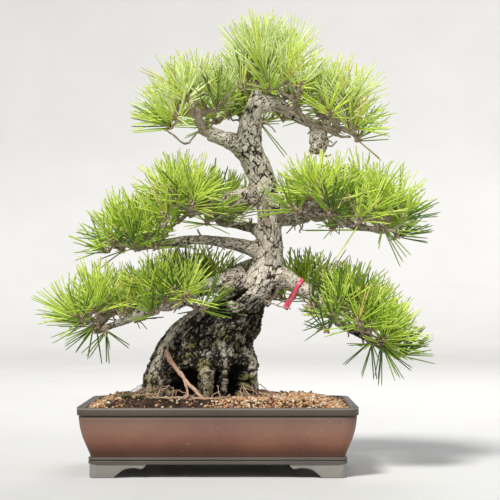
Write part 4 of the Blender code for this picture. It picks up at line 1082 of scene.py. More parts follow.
def foot_sections():
    """Sections of one bracket in its own corner frame, with rounded edges."""
    top = FOOT_HEIGHT + SEAM
    arch = smooth_curve([(share, lift, 0) for share, lift in FOOT_ARCH], 0.035)
    shape = [(point.x, max(point.y, 0.0)) for point in arch]

    def section(outer, inner, underside):
        outer, inner = Vector((*outer, 0)), Vector((*inner, 0))
        across = (inner - outer).normalized()
        out = []
        corners = ((outer, underside), (outer, top), (inner, top), (inner, underside))
        softness = ((across, 1), (across, -1), (-across, -1), (-across, 1))
        for (place, z), (side, up) in zip(corners, softness):
            radius = FOOT_EDGE_BELOW if up == 1 else FOOT_EDGE_ABOVE
            for step in range(4):
                angle = math.pi / 2 * step / 3
                if (up == 1) == (side == across):
                    angle = math.pi / 2 - angle
                shift = side * radius * (1 - math.cos(angle))
                out.append(Vector((place.x + shift.x, place.y + shift.y,
                                   z + up * radius * (1 - math.sin(angle)))))
        return np.array(out)

    sections = []
    for share, lift in shape:
        along = share * FOOT_LENGTH_X
        sections.append(section((along, 0), (along, FOOT_THICKNESS), lift * FOOT_HEIGHT))
    for step in range(9):
        turn = step / 8
        angle = math.pi / 2 * turn
        outer = (FOOT_CORNER * (1 - math.sin(angle)), FOOT_CORNER * (1 - math.cos(angle)))
        shift = 0.003 * (1 - 2 * turn)
        inner = (FOOT_THICKNESS + max(shift, 0.0), FOOT_THICKNESS + max(-shift, 0.0))
        sections.append(section(outer, inner, 0.0))
    for share, lift in reversed(shape):
        along = share * FOOT_LENGTH_Y
        sections.append(section((0, along), (FOOT_THICKNESS, along), lift * FOOT_HEIGHT))
    return sections


def make_feet(rim_clay):
    """Four bracket feet, one at each corner."""
    corner_x = POT_WIDTH / 2 - FOOT_INSET
    corner_y = POT_DEPTH / 2 - FOOT_INSET
    for name, side_x, side_y in (("foot_front_left", -1, -1), ("foot_front_right", 1, -1),
                                 ("foot_back_right", 1, 1), ("foot_back_left", -1, 1)):
        rings = [ring * np.array((-side_x, -side_y, 1)) for ring in foot_sections()]
        points, quads, ends = ring_loft(rings)
        points = points + np.array((side_x * corner_x, side_y * corner_y, 0))
        if side_x * side_y < 0:
            quads, ends = quads[:, ::-1], ends[:, ::-1]
        mesh_piece(f"{name}_bracket", points, [quads, ends], [rim_clay], "foot_clay", nodes=[name])


# Trunk, legs and boughs

def station(z):
    """Centre and half sizes of the trunk at each of the heights given."""
    rows = TRUNK_STATIONS
    keys = rows[:, 0]
    z = np.clip(z, keys[0], keys[-1])
    i = np.clip(np.searchsorted(keys, z) - 1, 0, len(keys) - 2)
    slopes = np.gradient(rows, keys, axis=0)
    width = (keys[i + 1] - keys[i])[:, None]
    t = ((z - keys[i]) / width[:, 0])[:, None]
    found = (rows[i] * (1 + 2 * t) * (1 - t) ** 2 + slopes[i] * width * t * (1 - t) ** 2
             + rows[i + 1] * t * t * (3 - 2 * t) + slopes[i + 1] * width * t * t * (t - 1))
    return found[:, 1:3], found[:, 3:5]


def trunk_shape():
    """The lobed trunk from below the ground to its top."""
    heights = np.linspace(TRUNK_STATIONS[0][0], TRUNK_TOP + 0.004, TRUNK_RINGS)
    centres, halves = station(heights)
    angles = 2 * math.pi * np.arange(TRUNK_SIDES) / TRUNK_SIDES
    rings = []
    for z, centre, half in zip(heights, centres, halves):
        fade = math.exp(-max(z - GROUND, 0) / LOBE_FADE)
        depth = LOBE_AT_TOP + (LOBE_AT_GROUND - LOBE_AT_TOP) * fade
        lobe = 0.7 * np.cos(TRUNK_LOBES * angles) + 0.3 * np.cos(2 * angles)
        reach = 1 + depth * (lobe - 1) * 0.5
        rings.append(np.stack((centre[0] + half[0] * reach * np.cos(angles),
                               centre[1] + half[1] * reach * np.sin(angles),
                               np.full(len(angles), z)), axis=1))
    points, quads, ends = ring_loft(rings)
    quads = np.concatenate((quads[:, [0, 1, 2]], quads[:, [0, 2, 3]]))
    return points, np.concatenate((quads, ends))


def leg_lines():
    """Line and radii of each root leg, from inside the trunk down into the ground."""
    legs = []
    for ground_x, ground_y, top, radius in ROOT_LEGS:
        (centre,), (half,) = station(np.array([top]))
        outward = Vector((ground_x - centre[0], ground_y - centre[1], 0)).normalized()
        reach = 1 / math.hypot(outward.x / half[0], outward.y / half[1])
        start = Vector((*centre, top)) + outward * (reach - 1.6 * radius)
        foot = Vector((ground_x, ground_y, GROUND - 0.010))
        middle = start.lerp(foot, 0.5) + outward * LEG_BULGE
        line = smooth_curve((start, middle, foot), BOUGH_STEP)
        slim = FRONT_LEG_SLIM if ground_y < FRONT_LEGS_Y else 1.0
        start_share, foot_share = LEG_TAPER
        legs.append((line, np.linspace(radius * start_share, radius * foot_share, len(line)) * slim))
    return legs


def bough_lines():
    """Line and radii of each bough, by name."""
    lines = {}
    for name, _, base, tip, points in BOUGHS:
        line = smooth_curve(points, BOUGH_STEP)
        lines[name] = (line, np.linspace(base, tip, len(line)))
    return lines


def collared(line, radii, parent_radius):
    """Radii with a swelling where the limb leaves its parent."""
    along = distances_along(np.array(line))
    swell = COLLAR_SWELL * np.exp(-np.maximum(along - parent_radius, 0) / COLLAR_LENGTH)
    bumps = 0.15 * noise(np.stack((along / 0.014, along * 0, along * 0), axis=1) + radii[0] * 1e4, 11)
    return radii * (1 + swell + bumps)


def remeshed(points, faces, voxel):
    """One even skin round overlapping closed shapes."""
    mesh = bpy.data.meshes.new("rough_wood")
    mesh.from_pydata(points.tolist(), [], faces.tolist())
    rough = add_object("rough_wood", mesh)
    step = rough.modifiers.new("skin", "REMESH")
    step.mode = "VOXEL"
    step.voxel_size = voxel
    graph = bpy.context.evaluated_depsgraph_get()
    skin = bpy.data.meshes.new_from_object(rough.evaluated_get(graph))
    found = np.zeros(len(skin.vertices) * 3)
    skin.vertices.foreach_get("co", found)
    quads = np.zeros(len(skin.loops), dtype=np.int32)
    skin.loops.foreach_get("vertex_index", quads)
    edges = np.zeros(len(skin.edges) * 2, dtype=np.int32)
    skin.edges.foreach_get("vertices", edges)
    bpy.data.objects.remove(rough)
    bpy.data.meshes.remove(mesh)
    bpy.data.meshes.remove(skin)
    return found.reshape(-1, 3), quads.reshape(-1, 4), edges.reshape(-1, 2)


def relaxed(points, edges, rounds):
    """Points drawn halfway to the mean of their neighbours, once for each round."""
    count = np.bincount(edges.ravel(), minlength=len(points))[:, None]
    for _ in range(rounds):
        total = np.stack([np.bincount(edges[:, 0], points[edges[:, 1], axis], len(points))
                          + np.bincount(edges[:, 1], points[edges[:, 0], axis], len(points))
                          for axis in range(3)], axis=1)
        points = 0.5 * points + 0.5 * total / count
    return points


def face_normals(points, quads):
    """Outward direction at each point."""
    a, b, c, d = (points[quads[:, k]] for k in range(4))
    normals = np.cross(c - a, d - b)
    total = np.stack([sum(np.bincount(quads[:, k], normals[:, axis], len(points)) for k in range(4))
                      for axis in range(3)], axis=1)
    return total / np.linalg.norm(total, axis=1)[:, None].clip(1e-12)


def limb_coordinates(points, lines, legs):
    """For each point: its place in its own limb's straightened frame, the limb's radius, how far it
    is from the trunk's skin in half sizes, and whether it is on the trunk."""
    centres, halves = station(points[:, 2])
    off = points[:, :2] - centres
    share = np.linalg.norm(off / halves, axis=1)
    trunk_gap = (share - 1) * halves.min(axis=1)
    grain = np.column_stack((off, points[:, 2]))
    radius = halves.mean(axis=1)
    best = trunk_gap.copy()
    on_trunk = np.ones(len(points), dtype=bool)
    for number, (line, radii) in enumerate(list(lines.values()) + legs):
        line = np.array(line)
        ahead, across, third = line_frames(line)
        along = distances_along(line)
        low, high = line.min(axis=0) - 0.03, line.max(axis=0) + 0.03
        near = np.nonzero(np.all((points > low) & (points < high), axis=1))[0]
        if not len(near):
            continue
        gaps = np.linalg.norm(points[near][:, None] - line[None], axis=2)
        nearest = gaps.argmin(axis=1)
        gap = gaps[np.arange(len(near)), nearest] - radii[nearest]
        mine = gap < best[near] - 0.001
        chosen = near[mine]
        at = nearest[mine]
        away = points[chosen] - line[at]
        grain[chosen] = np.column_stack(((away * across[at]).sum(axis=1), (away * third[at]).sum(axis=1),
                                         along[at] + (away * ahead[at]).sum(axis=1)))
        grain[chosen] += 50 + 10 * number
        best[chosen] = gap[mine]
        radius[chosen] = radii[at]
        on_trunk[chosen] = False
    return grain, radius, on_trunk


def carve_hollows(points):
    """Pushes the hollows between the root legs into the flare, where the bark is painted dark as shade."""
    centres, halves = station(points[:, 2])
    off = points[:, :2] - centres
    angle = np.degrees(np.arctan2(off[:, 1] / halves[:, 1], off[:, 0] / halves[:, 0]))
    depth = np.zeros(len(points))
    for direction, z, wide, tall, deep in HOLLOWS:
        turn = (angle - direction + 180) % 360 - 180
        ragged = 0.25 * noise(points * 90, 17)
        inside = 1 - np.hypot(turn / wide, (points[:, 2] - z) / tall) + ragged
        depth = np.maximum(depth, deep * eased(inside, -0.03, 0.22))
    share = np.linalg.norm(off / halves, axis=1)
    depth *= eased(share, 0.60, 0.90)
    way = off / np.linalg.norm(off, axis=1)[:, None].clip(1e-6)
    moved = points.copy()
    moved[:, :2] -= way * depth[:, None]
    return moved, depth


def bark_plates(grain, on_trunk, old):
    """Cracks and numbers of the plates, large and small, and the way to a large one's middle."""
    size = np.where(on_trunk, TRUNK_PLATE, BOUGH_PLATE)
    stretched = grain / size[:, None] * np.array(PLATE_STRETCH)
    warp = np.stack([noise(stretched * 0.8, 21 + k) for k in range(3)], axis=1)
    kinks = np.stack([noise(stretched * 2.6, 24 + k) for k in range(3)], axis=1)
    wide = stretched + 0.50 * warp + 0.20 * kinks
    first, second, plate, way = cell_pattern(wide, 31)
    crack = eased(second - first, 0.0, 0.155 + 0.13 * old)
    small_first, small_second, small_plate, _ = cell_pattern(wide * 1.9 + 9.0, 41)
    small_crack = eased(small_second - small_first, 0.0, 0.17 + 0.08 * old)
    # In places, and all over the old foot, the plates are broken up small
    broken = np.maximum(eased(noise(grain / 0.021, 27), 0.05, 0.45), np.where(on_trunk, old, 0) * 0.85)
    crack = crack * (1 - broken) + np.minimum(crack, small_crack) * broken
    plate = np.where(broken > 0.5, small_plate, plate)
    return crack, small_crack, plate, small_plate, way


def knot_relief(points, plate, rise):
    """Adds the knots to the rise; returns how far their rings swirl the bark round them."""
    swirl = np.zeros(len(points))
    wobble = 1 + 0.15 * noise(points * 120, 81)
    for place, ring, high, deep in KNOTS:
        gap = np.linalg.norm(points - np.array(place), axis=1)
        rim = np.exp(-((gap * wobble - ring) / (0.42 * ring)) ** 2)
        middle = np.exp(-(gap * wobble / (0.60 * ring)) ** 2)
        rise += high * rim - deep * middle
        around = np.exp(-(gap / (1.6 * ring)) ** 2)
        turns = gap * 2 * math.pi / (0.30 * ring) + 4 * plate
        swirl = np.maximum(swirl, around * (0.5 + 0.5 * np.sin(turns)))
    return swirl


def bark_relief(points, normals, grain, radius, on_trunk, hollow, old):
    """Moves the skin into plates and fissures; returns it with each point's crack and plate."""
    crack, small_crack, plate, small_plate, way = bark_plates(grain, on_trunk, old)
    depth = np.where(on_trunk, np.clip(radius * 0.11, 0.0018, 0.0036),
                     np.clip(radius * 0.10, 0.0004, 0.0012))
    number = np.floor(plate * 1e6).astype(np.int64)[:, None] * np.array((1, 3, 7))
    tilt = (way * np.column_stack([hashed(number, 51 + k) - 0.5 for k in range(3)])).sum(axis=1)
    lift = 0.55 * crack + 0.22 * small_crack + 0.55 * (plate - 0.5) * crack + 0.9 * tilt * crack
    lift += 0.18 * (small_plate - 0.5) * small_crack + 0.22 * layered(grain / 0.0045, 61, 2)
    gnarl = layered(grain * np.array((1, 1, 0.45)) / 0.030, 71, 3)
    swell = np.where(on_trunk, 0.0034 * eased(radius, 0.012, 0.05) + 0.0007,
                     np.clip(radius * 0.13, 0.0003, 0.0014))
    rise = depth * (lift - 0.45) + swell * gnarl
    snag = np.exp(-(np.linalg.norm(points - np.array(SNAG_PLACE), axis=1) / SNAG_REACH) ** 2)
    rise += snag * SNAG_DEPTH * layered(points / 0.0065, 75, 3)
    swirl = knot_relief(points, plate, rise)
    crack = crack * (0.35 + 0.65 * small_crack) * (1 - 0.7 * swirl)
    # Painted shade: the deep hollows lose their plates and take the dark fissure colour
    crack *= 1 - eased(hollow, 0.010, 0.020) * 0.95
    moved = points + normals * rise[:, None]
    return moved, crack, plate


def raise_ridges(points, normals):
    """Raises the lighter roots that run down the flare; returns how light each point becomes."""
    rise = np.zeros(len(points))
    light = np.zeros(len(points))
    near = np.nonzero(points[:, 2] < 0.27)[0]
    for route, wide, high, lighter in RIDGES:
        angles, heights = np.array(route).T
        fine = np.linspace(0, 1, 40)
        steps = np.linspace(0, 1, len(route))
        heights = np.interp(fine, steps, heights)
        angles = np.radians(np.interp(fine, steps, angles))
        centres, halves = station(heights)
        spots = np.column_stack((centres[:, 0] + halves[:, 0] * np.cos(angles),
                                 centres[:, 1] + halves[:, 1] * np.sin(angles), heights))
        gap = np.full(len(near), 1.0)
        for spot in spots:
            gap = np.minimum(gap, ((points[near] - spot) ** 2).sum(axis=1))
        share = np.exp(-gap / wide ** 2 * (1 + 0.3 * noise(points[near] / 0.012, 19)))
        rise[near] = np.maximum(rise[near], high * share)
        light[near] = np.maximum(light[near], lighter * share)
    return points + normals * rise[:, None], light


def bark_age(points, on_trunk, light):
    """How old and sooty the bark is: the foot of the trunk is nearly black."""
    patch = layered(points / 0.016, 91, 3)
    x, _, z = points.T
    sooty = eased(0.262 - 0.25 * np.maximum(x - 0.03, 0) + 0.018 * patch - z, -0.020, 0.030)
    sooty = sooty * np.where(on_trunk, 1.0, eased(0.225 - z, 0, 0.03))
    age = sooty * (0.92 + 0.40 * patch) * (1 - light)
    for place, ring, *_ in KNOTS:
        age *= 1 - 0.6 * np.exp(-((points - np.array(place)) ** 2).sum(axis=1) / (1.1 * ring) ** 2)
    return np.clip(age + 0.30 * eased(patch, 0.60, 1.1) * on_trunk, 0, 1)


def bark_look(points, crack, plate, age):
    """Fissure, plate, moss and age of the bark at each point, as colour channels."""
    x, _, z = points.T
    damp = layered(points / 0.022 + 40, 95, 3)
    moss = eased(0.205 - z + 0.030 * damp, 0, 0.060) * eased(damp, -0.15, 0.55) * 0.8
    moss = np.maximum(moss, 0.85 * eased(0.150 - z, 0, 0.020) * eased(-0.080 - x, 0, 0.012))
    moss = np.maximum(moss, 0.65 * np.exp(-((z - 0.156) / 0.012) ** 2) * eased(damp, -0.25, 0.45))
    moss *= eased(crack, 0.15, 0.7)
    return np.column_stack((crack, plate, np.clip(moss, 0, 1), age))


def stub_shape():
    """Line and radii of the dead stub, and its tube with a root inside the bough."""
    stub = smooth_curve(STUB_POINTS, BOUGH_STEP)
    radii = np.interp(np.linspace(0, 1, len(stub)), (0, 0.5, 1), STUB_RADII)
    sizes = np.concatenate(([STUB_ROOT_RADIUS], radii)) * STUB_SLIM
    return stub, radii, tube([Vector(STUB_ROOT)] + stub, sizes, LIMB_SIDES)


def make_wood(lines, bark):
    """Trunk, legs, boughs and stub under one skin of bark."""
    shapes = [trunk_shape()]
    legs = leg_lines()
    shapes += [tube(line, radii, LIMB_SIDES) for line, radii in legs]
    for name, parent, *_ in BOUGHS:
        line, radii = lines[name]
        parent_radius = TRUNK_COLLAR if parent == "trunk" else BOUGH_COLLAR
        shapes.append(tube(line, collared(line, radii, parent_radius), LIMB_SIDES))
    stub, stub_radii, shape = stub_shape()
    shapes.append(shape)
    points, quads, edges = remeshed(*joined(shapes), WOOD_VOXEL)
    points = relaxed(points, edges, 2)
    points, hollow = carve_hollows(points)
    points = relaxed(points, edges, 1)
    points, light = raise_ridges(points, face_normals(points, quads))
    normals = face_normals(points, quads)
    all_lines = {**lines, "stub": (stub, stub_radii)}
    grain, radius, on_trunk = limb_coordinates(points, all_lines, legs)
    # Painted shade: the ridges are made lighter only outside the hollows, so these stay dark
    age = bark_age(points, on_trunk, light * (hollow < 0.004))
    moved, crack, plate = bark_relief(points, normals, grain, radius, on_trunk, hollow, age)
    look = bark_look(points, crack, plate, age)
    nodes = ["trunk", "dead_stub"] + [f"bough_{row[0]}" for row in BOUGHS]
    wood = mesh_piece("bark", moved, quads, [bark], "old_bark", nodes=nodes)
    colours = wood.data.color_attributes.new("bark", "FLOAT_COLOR", "POINT")
    colours.data.foreach_set("color", look.astype(np.float32).ravel())
    vectors = wood.data.attributes.new("grain", "FLOAT_VECTOR", "POINT")
    size = np.where(on_trunk, TRUNK_PLATE, BOUGH_PLATE)
    vectors.data.foreach_set("vector", (grain / size[:, None]).astype(np.float32).ravel())


# Foliage

def mass_cells():
    """Planes that part each mass from the others, as outward normals and offsets."""
    cells = {}
    for name, _, centre, half, *_ in MASSES:
        normals = []
        offsets = []
        for other, _, other_centre, other_half, *_ in MASSES:
            if other == name:
                continue
            toward = Vector(other_centre) - Vector(centre)
            distance = toward.length
            toward.normalize()
            here, there = (Vector([h * d for h, d in zip(size, toward)]).length + NEEDLE_LENGTH / 2
                           for size in (half, other_half))
            offset = toward.dot(Vector(centre)) + distance * here / (here + there)
            normals.append(toward)
            offsets.append(offset - CELL_MARGIN)
        cells[name] = (np.array(normals), np.array(offsets))
    return cells


def inside_cell(points, cell, margin):
    """Which of the points are inside the cell by more than the margin."""
    normals, offsets = cell
    return np.all(np.atleast_2d(points) @ normals.T < offsets - margin, axis=1)


def tag_frame(lines):
    """Centre and radius of the tag's loop on its bough, and the bough's axis, down and away."""
    line, radii = lines[TAG_BOUGH]
    place = TAG_PLACE * (len(line) - 1)
    i = int(place)
    centre = line[i].lerp(line[i + 1], place - i)
    axis = (line[i + 1] - line[i]).normalized()
    down = (Vector((0, 0, -1)) + axis * axis.z).normalized()
    return centre, radii[i] + TAG_SLACK, axis, down, axis.cross(down)


def limb_samples(lines):
    """Balls that shoots and needles stay out of: boughs, stub, clear spots and the way to the tag."""
    points = []
    radii = []
    for line, sizes in lines.values():
        points += [np.array(point) for point in line]
        radii += list(sizes)
    for k in range(9):
        points.append(np.array(Vector(STUB_POINTS[0]).lerp(Vector(STUB_POINTS[-1]), k / 8)))
        radii.append(max(STUB_RADII))
    centre, loop, _, down, _ = tag_frame(lines)
    for *place, size in CLEAR_SPOTS:
        points.append(np.array(place))
        radii.append(size)
    for k in range(8):
        for nearer in TAG_VIEW:
            points.append(np.array(centre + down * TAG_LENGTH * k / 7 - Vector((0, nearer, 0))))
            radii.append(loop + TAG_WIDTH / 2 + TAG_CLEARANCE)
    return np.array(points), np.array(radii)


def clear_of_limbs(points, size, limbs):
    """Which of the points are clear of every limb and of the trunk."""
    centres, radii = limbs
    points = np.atleast_2d(points)
    clear = np.ones(len(points), dtype=bool)
    for start in range(0, len(points), 20000):
        some = points[start:start + 20000]
        squares = (some ** 2).sum(axis=1)[:, None] + (centres ** 2).sum(axis=1)[None] - 2 * some @ centres.T
        clear[start:start + 20000] = np.all(squares > (radii + size)[None] ** 2, axis=1)
    middle, halves = station(points[:, 2])
    share = np.linalg.norm((points[:, :2] - middle) / (halves + size), axis=1)
    return clear & ((share > 1) | (points[:, 2] > TRUNK_TOP + size))


def shoot_places(centre, half, fall, count, rng):
    """Places of the shoots on the domed layer of a mass, spread as seeds on a sunflower."""
    turn = rng.uniform(0, 2 * math.pi)
    places = []
    for i in range(count):
        spread = math.sqrt((i + 0.5) / count)
        angle = turn + GOLDEN_ANGLE * i
        x = half[0] * spread * math.cos(angle)
        y = half[1] * spread * math.sin(angle)
        z = half[2] * (0.9 - 1.6 * spread ** 2) + fall * x
        shift = Vector([rng.uniform(-SHOOT_JITTER, SHOOT_JITTER) for _ in range(3)])
        place = Vector(centre) + Vector((x, y, z)) + shift
        outward = spoke(angle) * spread ** 1.5
        lean = (Vector((0, 0, SHOOT_RISE - SHOOT_DROOP * spread ** 3)) + outward).normalized()
        places.append((place, lean, spread))
    return places


class Tree:
    """Twigs of one mass: points that each know the point that they grow from."""

    def __init__(self, start):
        self.points = [start]
        self.parents = [-1]
        self.carried = [0]
        self.twigs = []
        self.joints = []

    def grow(self, joint, path):
        twig = [joint]
        for point in path:
            self.points.append(point)
            self.parents.append(twig[-1])
            self.carried.append(0)
            twig.append(len(self.points) - 1)
        self.twigs.append(twig)
        return twig

    def bear(self, index):
        """Counts one more shoot on every point below this one."""
        while index >= 0:
            self.carried[index] += 1
            index = self.parents[index]

    def nearest(self, place):
        return min(self.joints, key=lambda index: (self.points[index] - place).length_squared)


def bend_path(start, place, lean, rng):
    """A sagging, slightly crooked twig from a joint to a shoot that it ends along."""
    length = (place - start).length
    middle = start.lerp(place, 0.5) - Vector((0, 0, TWIG_SAG * length))
    heel = place - lean * min(SHOOT_HEEL, 0.4 * length)
    line = smooth_curve((start, middle, heel, place + lean * SHOOT_LEAD), TWIG_STEP)[1:]
    for point in line[:-2]:
        point += jitter(rng, TWIG_WOBBLE)
    return line


def has_room(place, cell, margin, limbs):
    """Whether a shoot here is clear of the limbs and inside its mass's cell."""
    place = np.array(place)
    return clear_of_limbs(place, SHOOT_CLEARANCE, limbs).all() and inside_cell(place, cell, margin).all()


def carrier_tip(carrier, lines):
    """End of the limb that carries a mass, and the way that it points."""
    if carrier == "trunk":
        (middle,), _ = station(np.array([TRUNK_TOP]))
        return Vector((*middle, TRUNK_TOP)), Vector((0, 0, 1))
    line, _ = lines[carrier]
    return line[-1], (line[-1] - line[-2]).normalized()


def settled(home, cell, limbs, rng):
    """The shoot's place, moved about till it has room, or None."""
    place = home
    for attempt in range(SHOOT_TRIES):
        if has_room(place, cell, SHOOT_MARGIN, limbs):
            return place
        shift = SHOOT_SHIFT * (attempt + 1)
        place = home + Vector((rng.gauss(0, shift), rng.gauss(0, shift), rng.gauss(0, 0.4 * shift)))
    return None


def grow_mass(spec, lines, cells, limbs):
    """Twigs and shoots of one mass, by the same draws and rule as the part's own masses."""
    name, carrier, centre, half, fall, count = spec
    rng = random.Random(name)
    fine = random.Random(name + " finer")
    cell = cells[name]
    tip, ahead = carrier_tip(carrier, lines)
    goal = Vector(centre) - Vector((0, 0, 0.2 * half[2]))
    tree = Tree(tip - ahead * 0.004)
    stem = smooth_curve((tip, tip + ahead * 0.012, goal), TWIG_STEP)
    for point in stem[2:]:
        point += jitter(fine, TWIG_WOBBLE)
    twig = tree.grow(0, stem)
    tree.joints += twig[2:]
    places = shoot_places(centre, half, fall, count, rng)
    shoots = []
    for home, lean, spread in sorted(places, key=lambda one: (one[0] - tip).length):
        place = settled(home, cell, limbs, fine)
        if place is None:
            continue
        joint = tree.nearest(place - lean * SHOOT_HEEL)
        twig = tree.grow(joint, bend_path(tree.points[joint], place, lean, fine))
        tree.joints += twig[1:max(2, len(twig) - 3)]
        tree.bear(twig[-1])
        shoots.append((place, lean, 1.0, spread))
        shoots += side_shoots(tree, twig, lean, spread, cell, limbs, fine)
    for mass, place, lean, vigour in END_SHOOTS:
        if mass != name:
            continue
        place, lean = Vector(place), Vector(lean).normalized()
        twig = tree.grow(0, bend_path(tree.points[0], place, lean, fine))
        tree.bear(twig[-1])
        shoots.append((place, lean, vigour, 1.0))
    return tree, shoots


def side_shoots(tree, twig, lean, spread, cell, limbs, rng):
    """Finer twigs round a main shoot, each with its own brush."""
    made = []
    wanted = rng.choice(SIDE_SHOOTS)
    turn = rng.uniform(0, 2 * math.pi)
    side = lean.orthogonal().normalized()
    for i in range(wanted):
        angle = turn + 2 * math.pi * i / wanted + rng.uniform(-0.5, 0.5)
        around = Matrix.Rotation(angle, 3, lean) @ side
        away = (around + lean * rng.uniform(0.1, 0.6)).normalized()
        base = max(1, len(twig) - rng.choice(SIDE_SHOOT_JOINTS))
        start = tree.points[twig[base]]
        goal = start + away * rng.uniform(*SIDE_SHOOT_LENGTH)
        aim = (lean + around * rng.uniform(0.3, 0.6) + Vector((0, 0, 0.35))).normalized()
        if not has_room(goal, cell, SIDE_SHOOT_MARGIN, limbs):
            continue
        shoot = tree.grow(twig[base], bend_path(start, goal, aim, rng))
        tree.bear(shoot[-1])
        made.append((goal, aim, rng.uniform(*SIDE_SHOOT_VIGOUR), spread))
    return made


def twig_shapes(tree, base_radius):
    """Closed tubes of a mass's twigs, each as thick as what it carries needs."""
    shapes = []
    for twig in tree.twigs:
        line = [tree.points[index] for index in twig]
        if len(line) < 2:
            continue
        radii = []
        for place, index in enumerate(twig):
            carried = tree.carried[index] if place else tree.carried[twig[1]]
            radii.append(min(TWIG_RADIUS * max(carried, 1) ** TWIG_GROWTH, base_radius))
        radii = np.array(radii)
        places = np.array([tuple(point) for point in line])
        radii = radii * (1 + 0.22 * noise(places / 0.0055, 101))
        radii[-4:] *= np.array(TWIG_TIP)[-len(radii):]
        sides = 7 if radii.max() > 0.0022 else 5
        shapes.append(tube(line, radii, sides))
    return shapes


def shade_of(place, spread, height, rng):
    """Painted light and shade: shoots at the top of a mass and of the tree are bright, those under a mass are
    dark.
    """
    light = LIGHT_BASE + LIGHT_UP_MASS * height - LIGHT_LOSS_AT_EDGE * spread
    light += LIGHT_PER_METRE * (place.z - LIGHT_LEVEL)
    light += rng.gauss(0, LIGHT_SCATTER)
    # Painted highlight: the palest green goes to well-lit shoots high in the crown
    if light > SUNLIT_LIGHT and place.z > rng.uniform(*SUNLIT_HEIGHTS):
        return "sunlit"
    for name, least in SHADE_STEPS:
        if light > least:
            return name
    return "dark"


def brush_needles(shoot, rng):
    """Pairs of needles round one shoot: root, direction, length and bend of each."""
    place, lean, vigour, _ = shoot
    pairs = round(rng.uniform(*BRUSH_PAIRS) * vigour)
    reach = rng.uniform(0.88, 1.05) * (0.85 + 0.15 * vigour)
    widest = rng.choice(BRUSH_OPENINGS)
    if place.z > CROWN_TOP:
        reach *= CROWN_REACH
        widest -= CROWN_CLOSING
    side = lean.orthogonal().normalized()
    turn = rng.uniform(0, 2 * math.pi)
    rows = []
    for j in range(pairs):
        share = (j + 0.5) / pairs
        polar = math.radians(6 + widest * share ** 0.64 + rng.gauss(0, 5))
        if rng.random() < STRAY_SHARE:
            polar += math.radians(rng.uniform(*STRAY_TURN))
        around = Matrix.Rotation(turn + GOLDEN_ANGLE * j + rng.gauss(0, 0.12), 3, lean) @ side
        aim = lean * math.cos(polar) + around * math.sin(polar) + Vector((0, 0, 0.12))
        aim.normalize()
        if aim.z < NEEDLE_LOWEST and lean.z > 0 and rng.random() < PLUCKED_SHARE:
            continue
        root = place + lean * (0.004 - BRUSH_LENGTH * share * vigour) + around * 0.0010
        length = NEEDLE_LENGTH * reach * rng.gauss(1.0, 0.07) * (0.90 + 0.10 * min(1, 2 * share))
        split = (around.cross(lean) * math.cos(j) + Vector((0, 0, 1)) * math.sin(j)).normalized()
        for sign in (-1, 1):
            apart = (aim + split * sign * rng.uniform(*PAIR_PARTING)).normalized()
            bend = jitter(rng, NEEDLE_BEND) + Vector((0, 0, rng.uniform(*NEEDLE_SAG)))
            start = root + split * sign * PAIR_GAP
            rows.append((*start, *apart, length * rng.uniform(0.94, 1.03), *bend))
    return rows


def needle_lines(rows):
    """Points along each needle at its steps, as one array."""
    roots, aims, lengths, bends = rows[:, 0:3], rows[:, 3:6], rows[:, 6], rows[:, 7:10]
    t = NEEDLE_STEPS[None, :, None]
    return roots[:, None] + (aims[:, None] * t + bends[:, None] * t ** 2) * lengths[:, None, None]


def needle_mesh(lines, radius=NEEDLE_RADIUS):
    """Closed three-sided needles along the lines, and the kind of each face: green, sheath or tip."""
    count, steps = lines.shape[:2]
    ahead = unit(lines[:, -1] - lines[:, 0])
    up = np.where(np.abs(ahead[:, 2:3]) > 0.9, np.array((1.0, 0, 0)), np.array((0, 0, 1.0)))
    across = unit(np.cross(ahead, up))
    third = np.cross(ahead, across)
    twist = 2 * math.pi * hashed(np.floor(lines[:, 0] * 1e5).astype(np.int64), 7)
    rings = []
    for k in range(3):
        angle = twist + 2 * math.pi * k / 3
        way = np.cos(angle)[:, None] * across + np.sin(angle)[:, None] * third
        rings.append(lines + way[:, None] * (radius * NEEDLE_TAPER)[None, :, None])
    points = np.stack(rings, axis=2).reshape(-1, 3)
    base = (np.arange(count) * steps * 3)[:, None]
    quads = []
    kinds = []
    for step in range(steps - 1):
        for k in range(3):
            after = (k + 1) % 3
            low = step * 3
            quads.append(base + np.array((low + k, low + after, low + 3 + after, low + 3 + k)))
            kinds.append(1 if step == 0 else 2 if step == steps - 2 else 0)
    last = (steps - 1) * 3
    caps = [base + np.array((2, 1, 0)), base + np.array((last, last + 1, last + 2))]
    quads = np.stack(quads, axis=1).reshape(-1, 4)
    kinds = np.tile(kinds, count)
    caps = np.stack(caps, axis=1).reshape(-1, 3)
    cap_kinds = np.tile((1, 2), count)
    return points, [quads, caps], np.concatenate((kinds, cap_kinds))


def scale_rows(shoot, rng):
    """Short pale scales that ring the woody base of a brush."""
    place, lean, *_ = shoot
    side = lean.orthogonal().normalized()
    turn = rng.uniform(0, 2 * math.pi)
    rows = []
    for j in range(BRUSH_SCALES):
        around = Matrix.Rotation(turn + GOLDEN_ANGLE * j, 3, lean) @ side
        root = place - lean * rng.uniform(0.002, 0.0115) + around * 0.0012
        aim = (lean * rng.uniform(0.3, 1.0) + around).normalized()
        rows.append((*root, *aim, rng.uniform(0.0035, 0.0065), *(lean * rng.uniform(0.1, 0.5))))
    return rows


def bud_shape(place, lean, size):
    """Pointed bud at the end of a shoot."""
    line = [place + lean * (0.002 + size * share) for share in (0.0, 0.25, 0.55, 0.85, 1.0)]
    return tube(line, np.array(BUD_PROFILE) * BUD_WIDTH, 6)


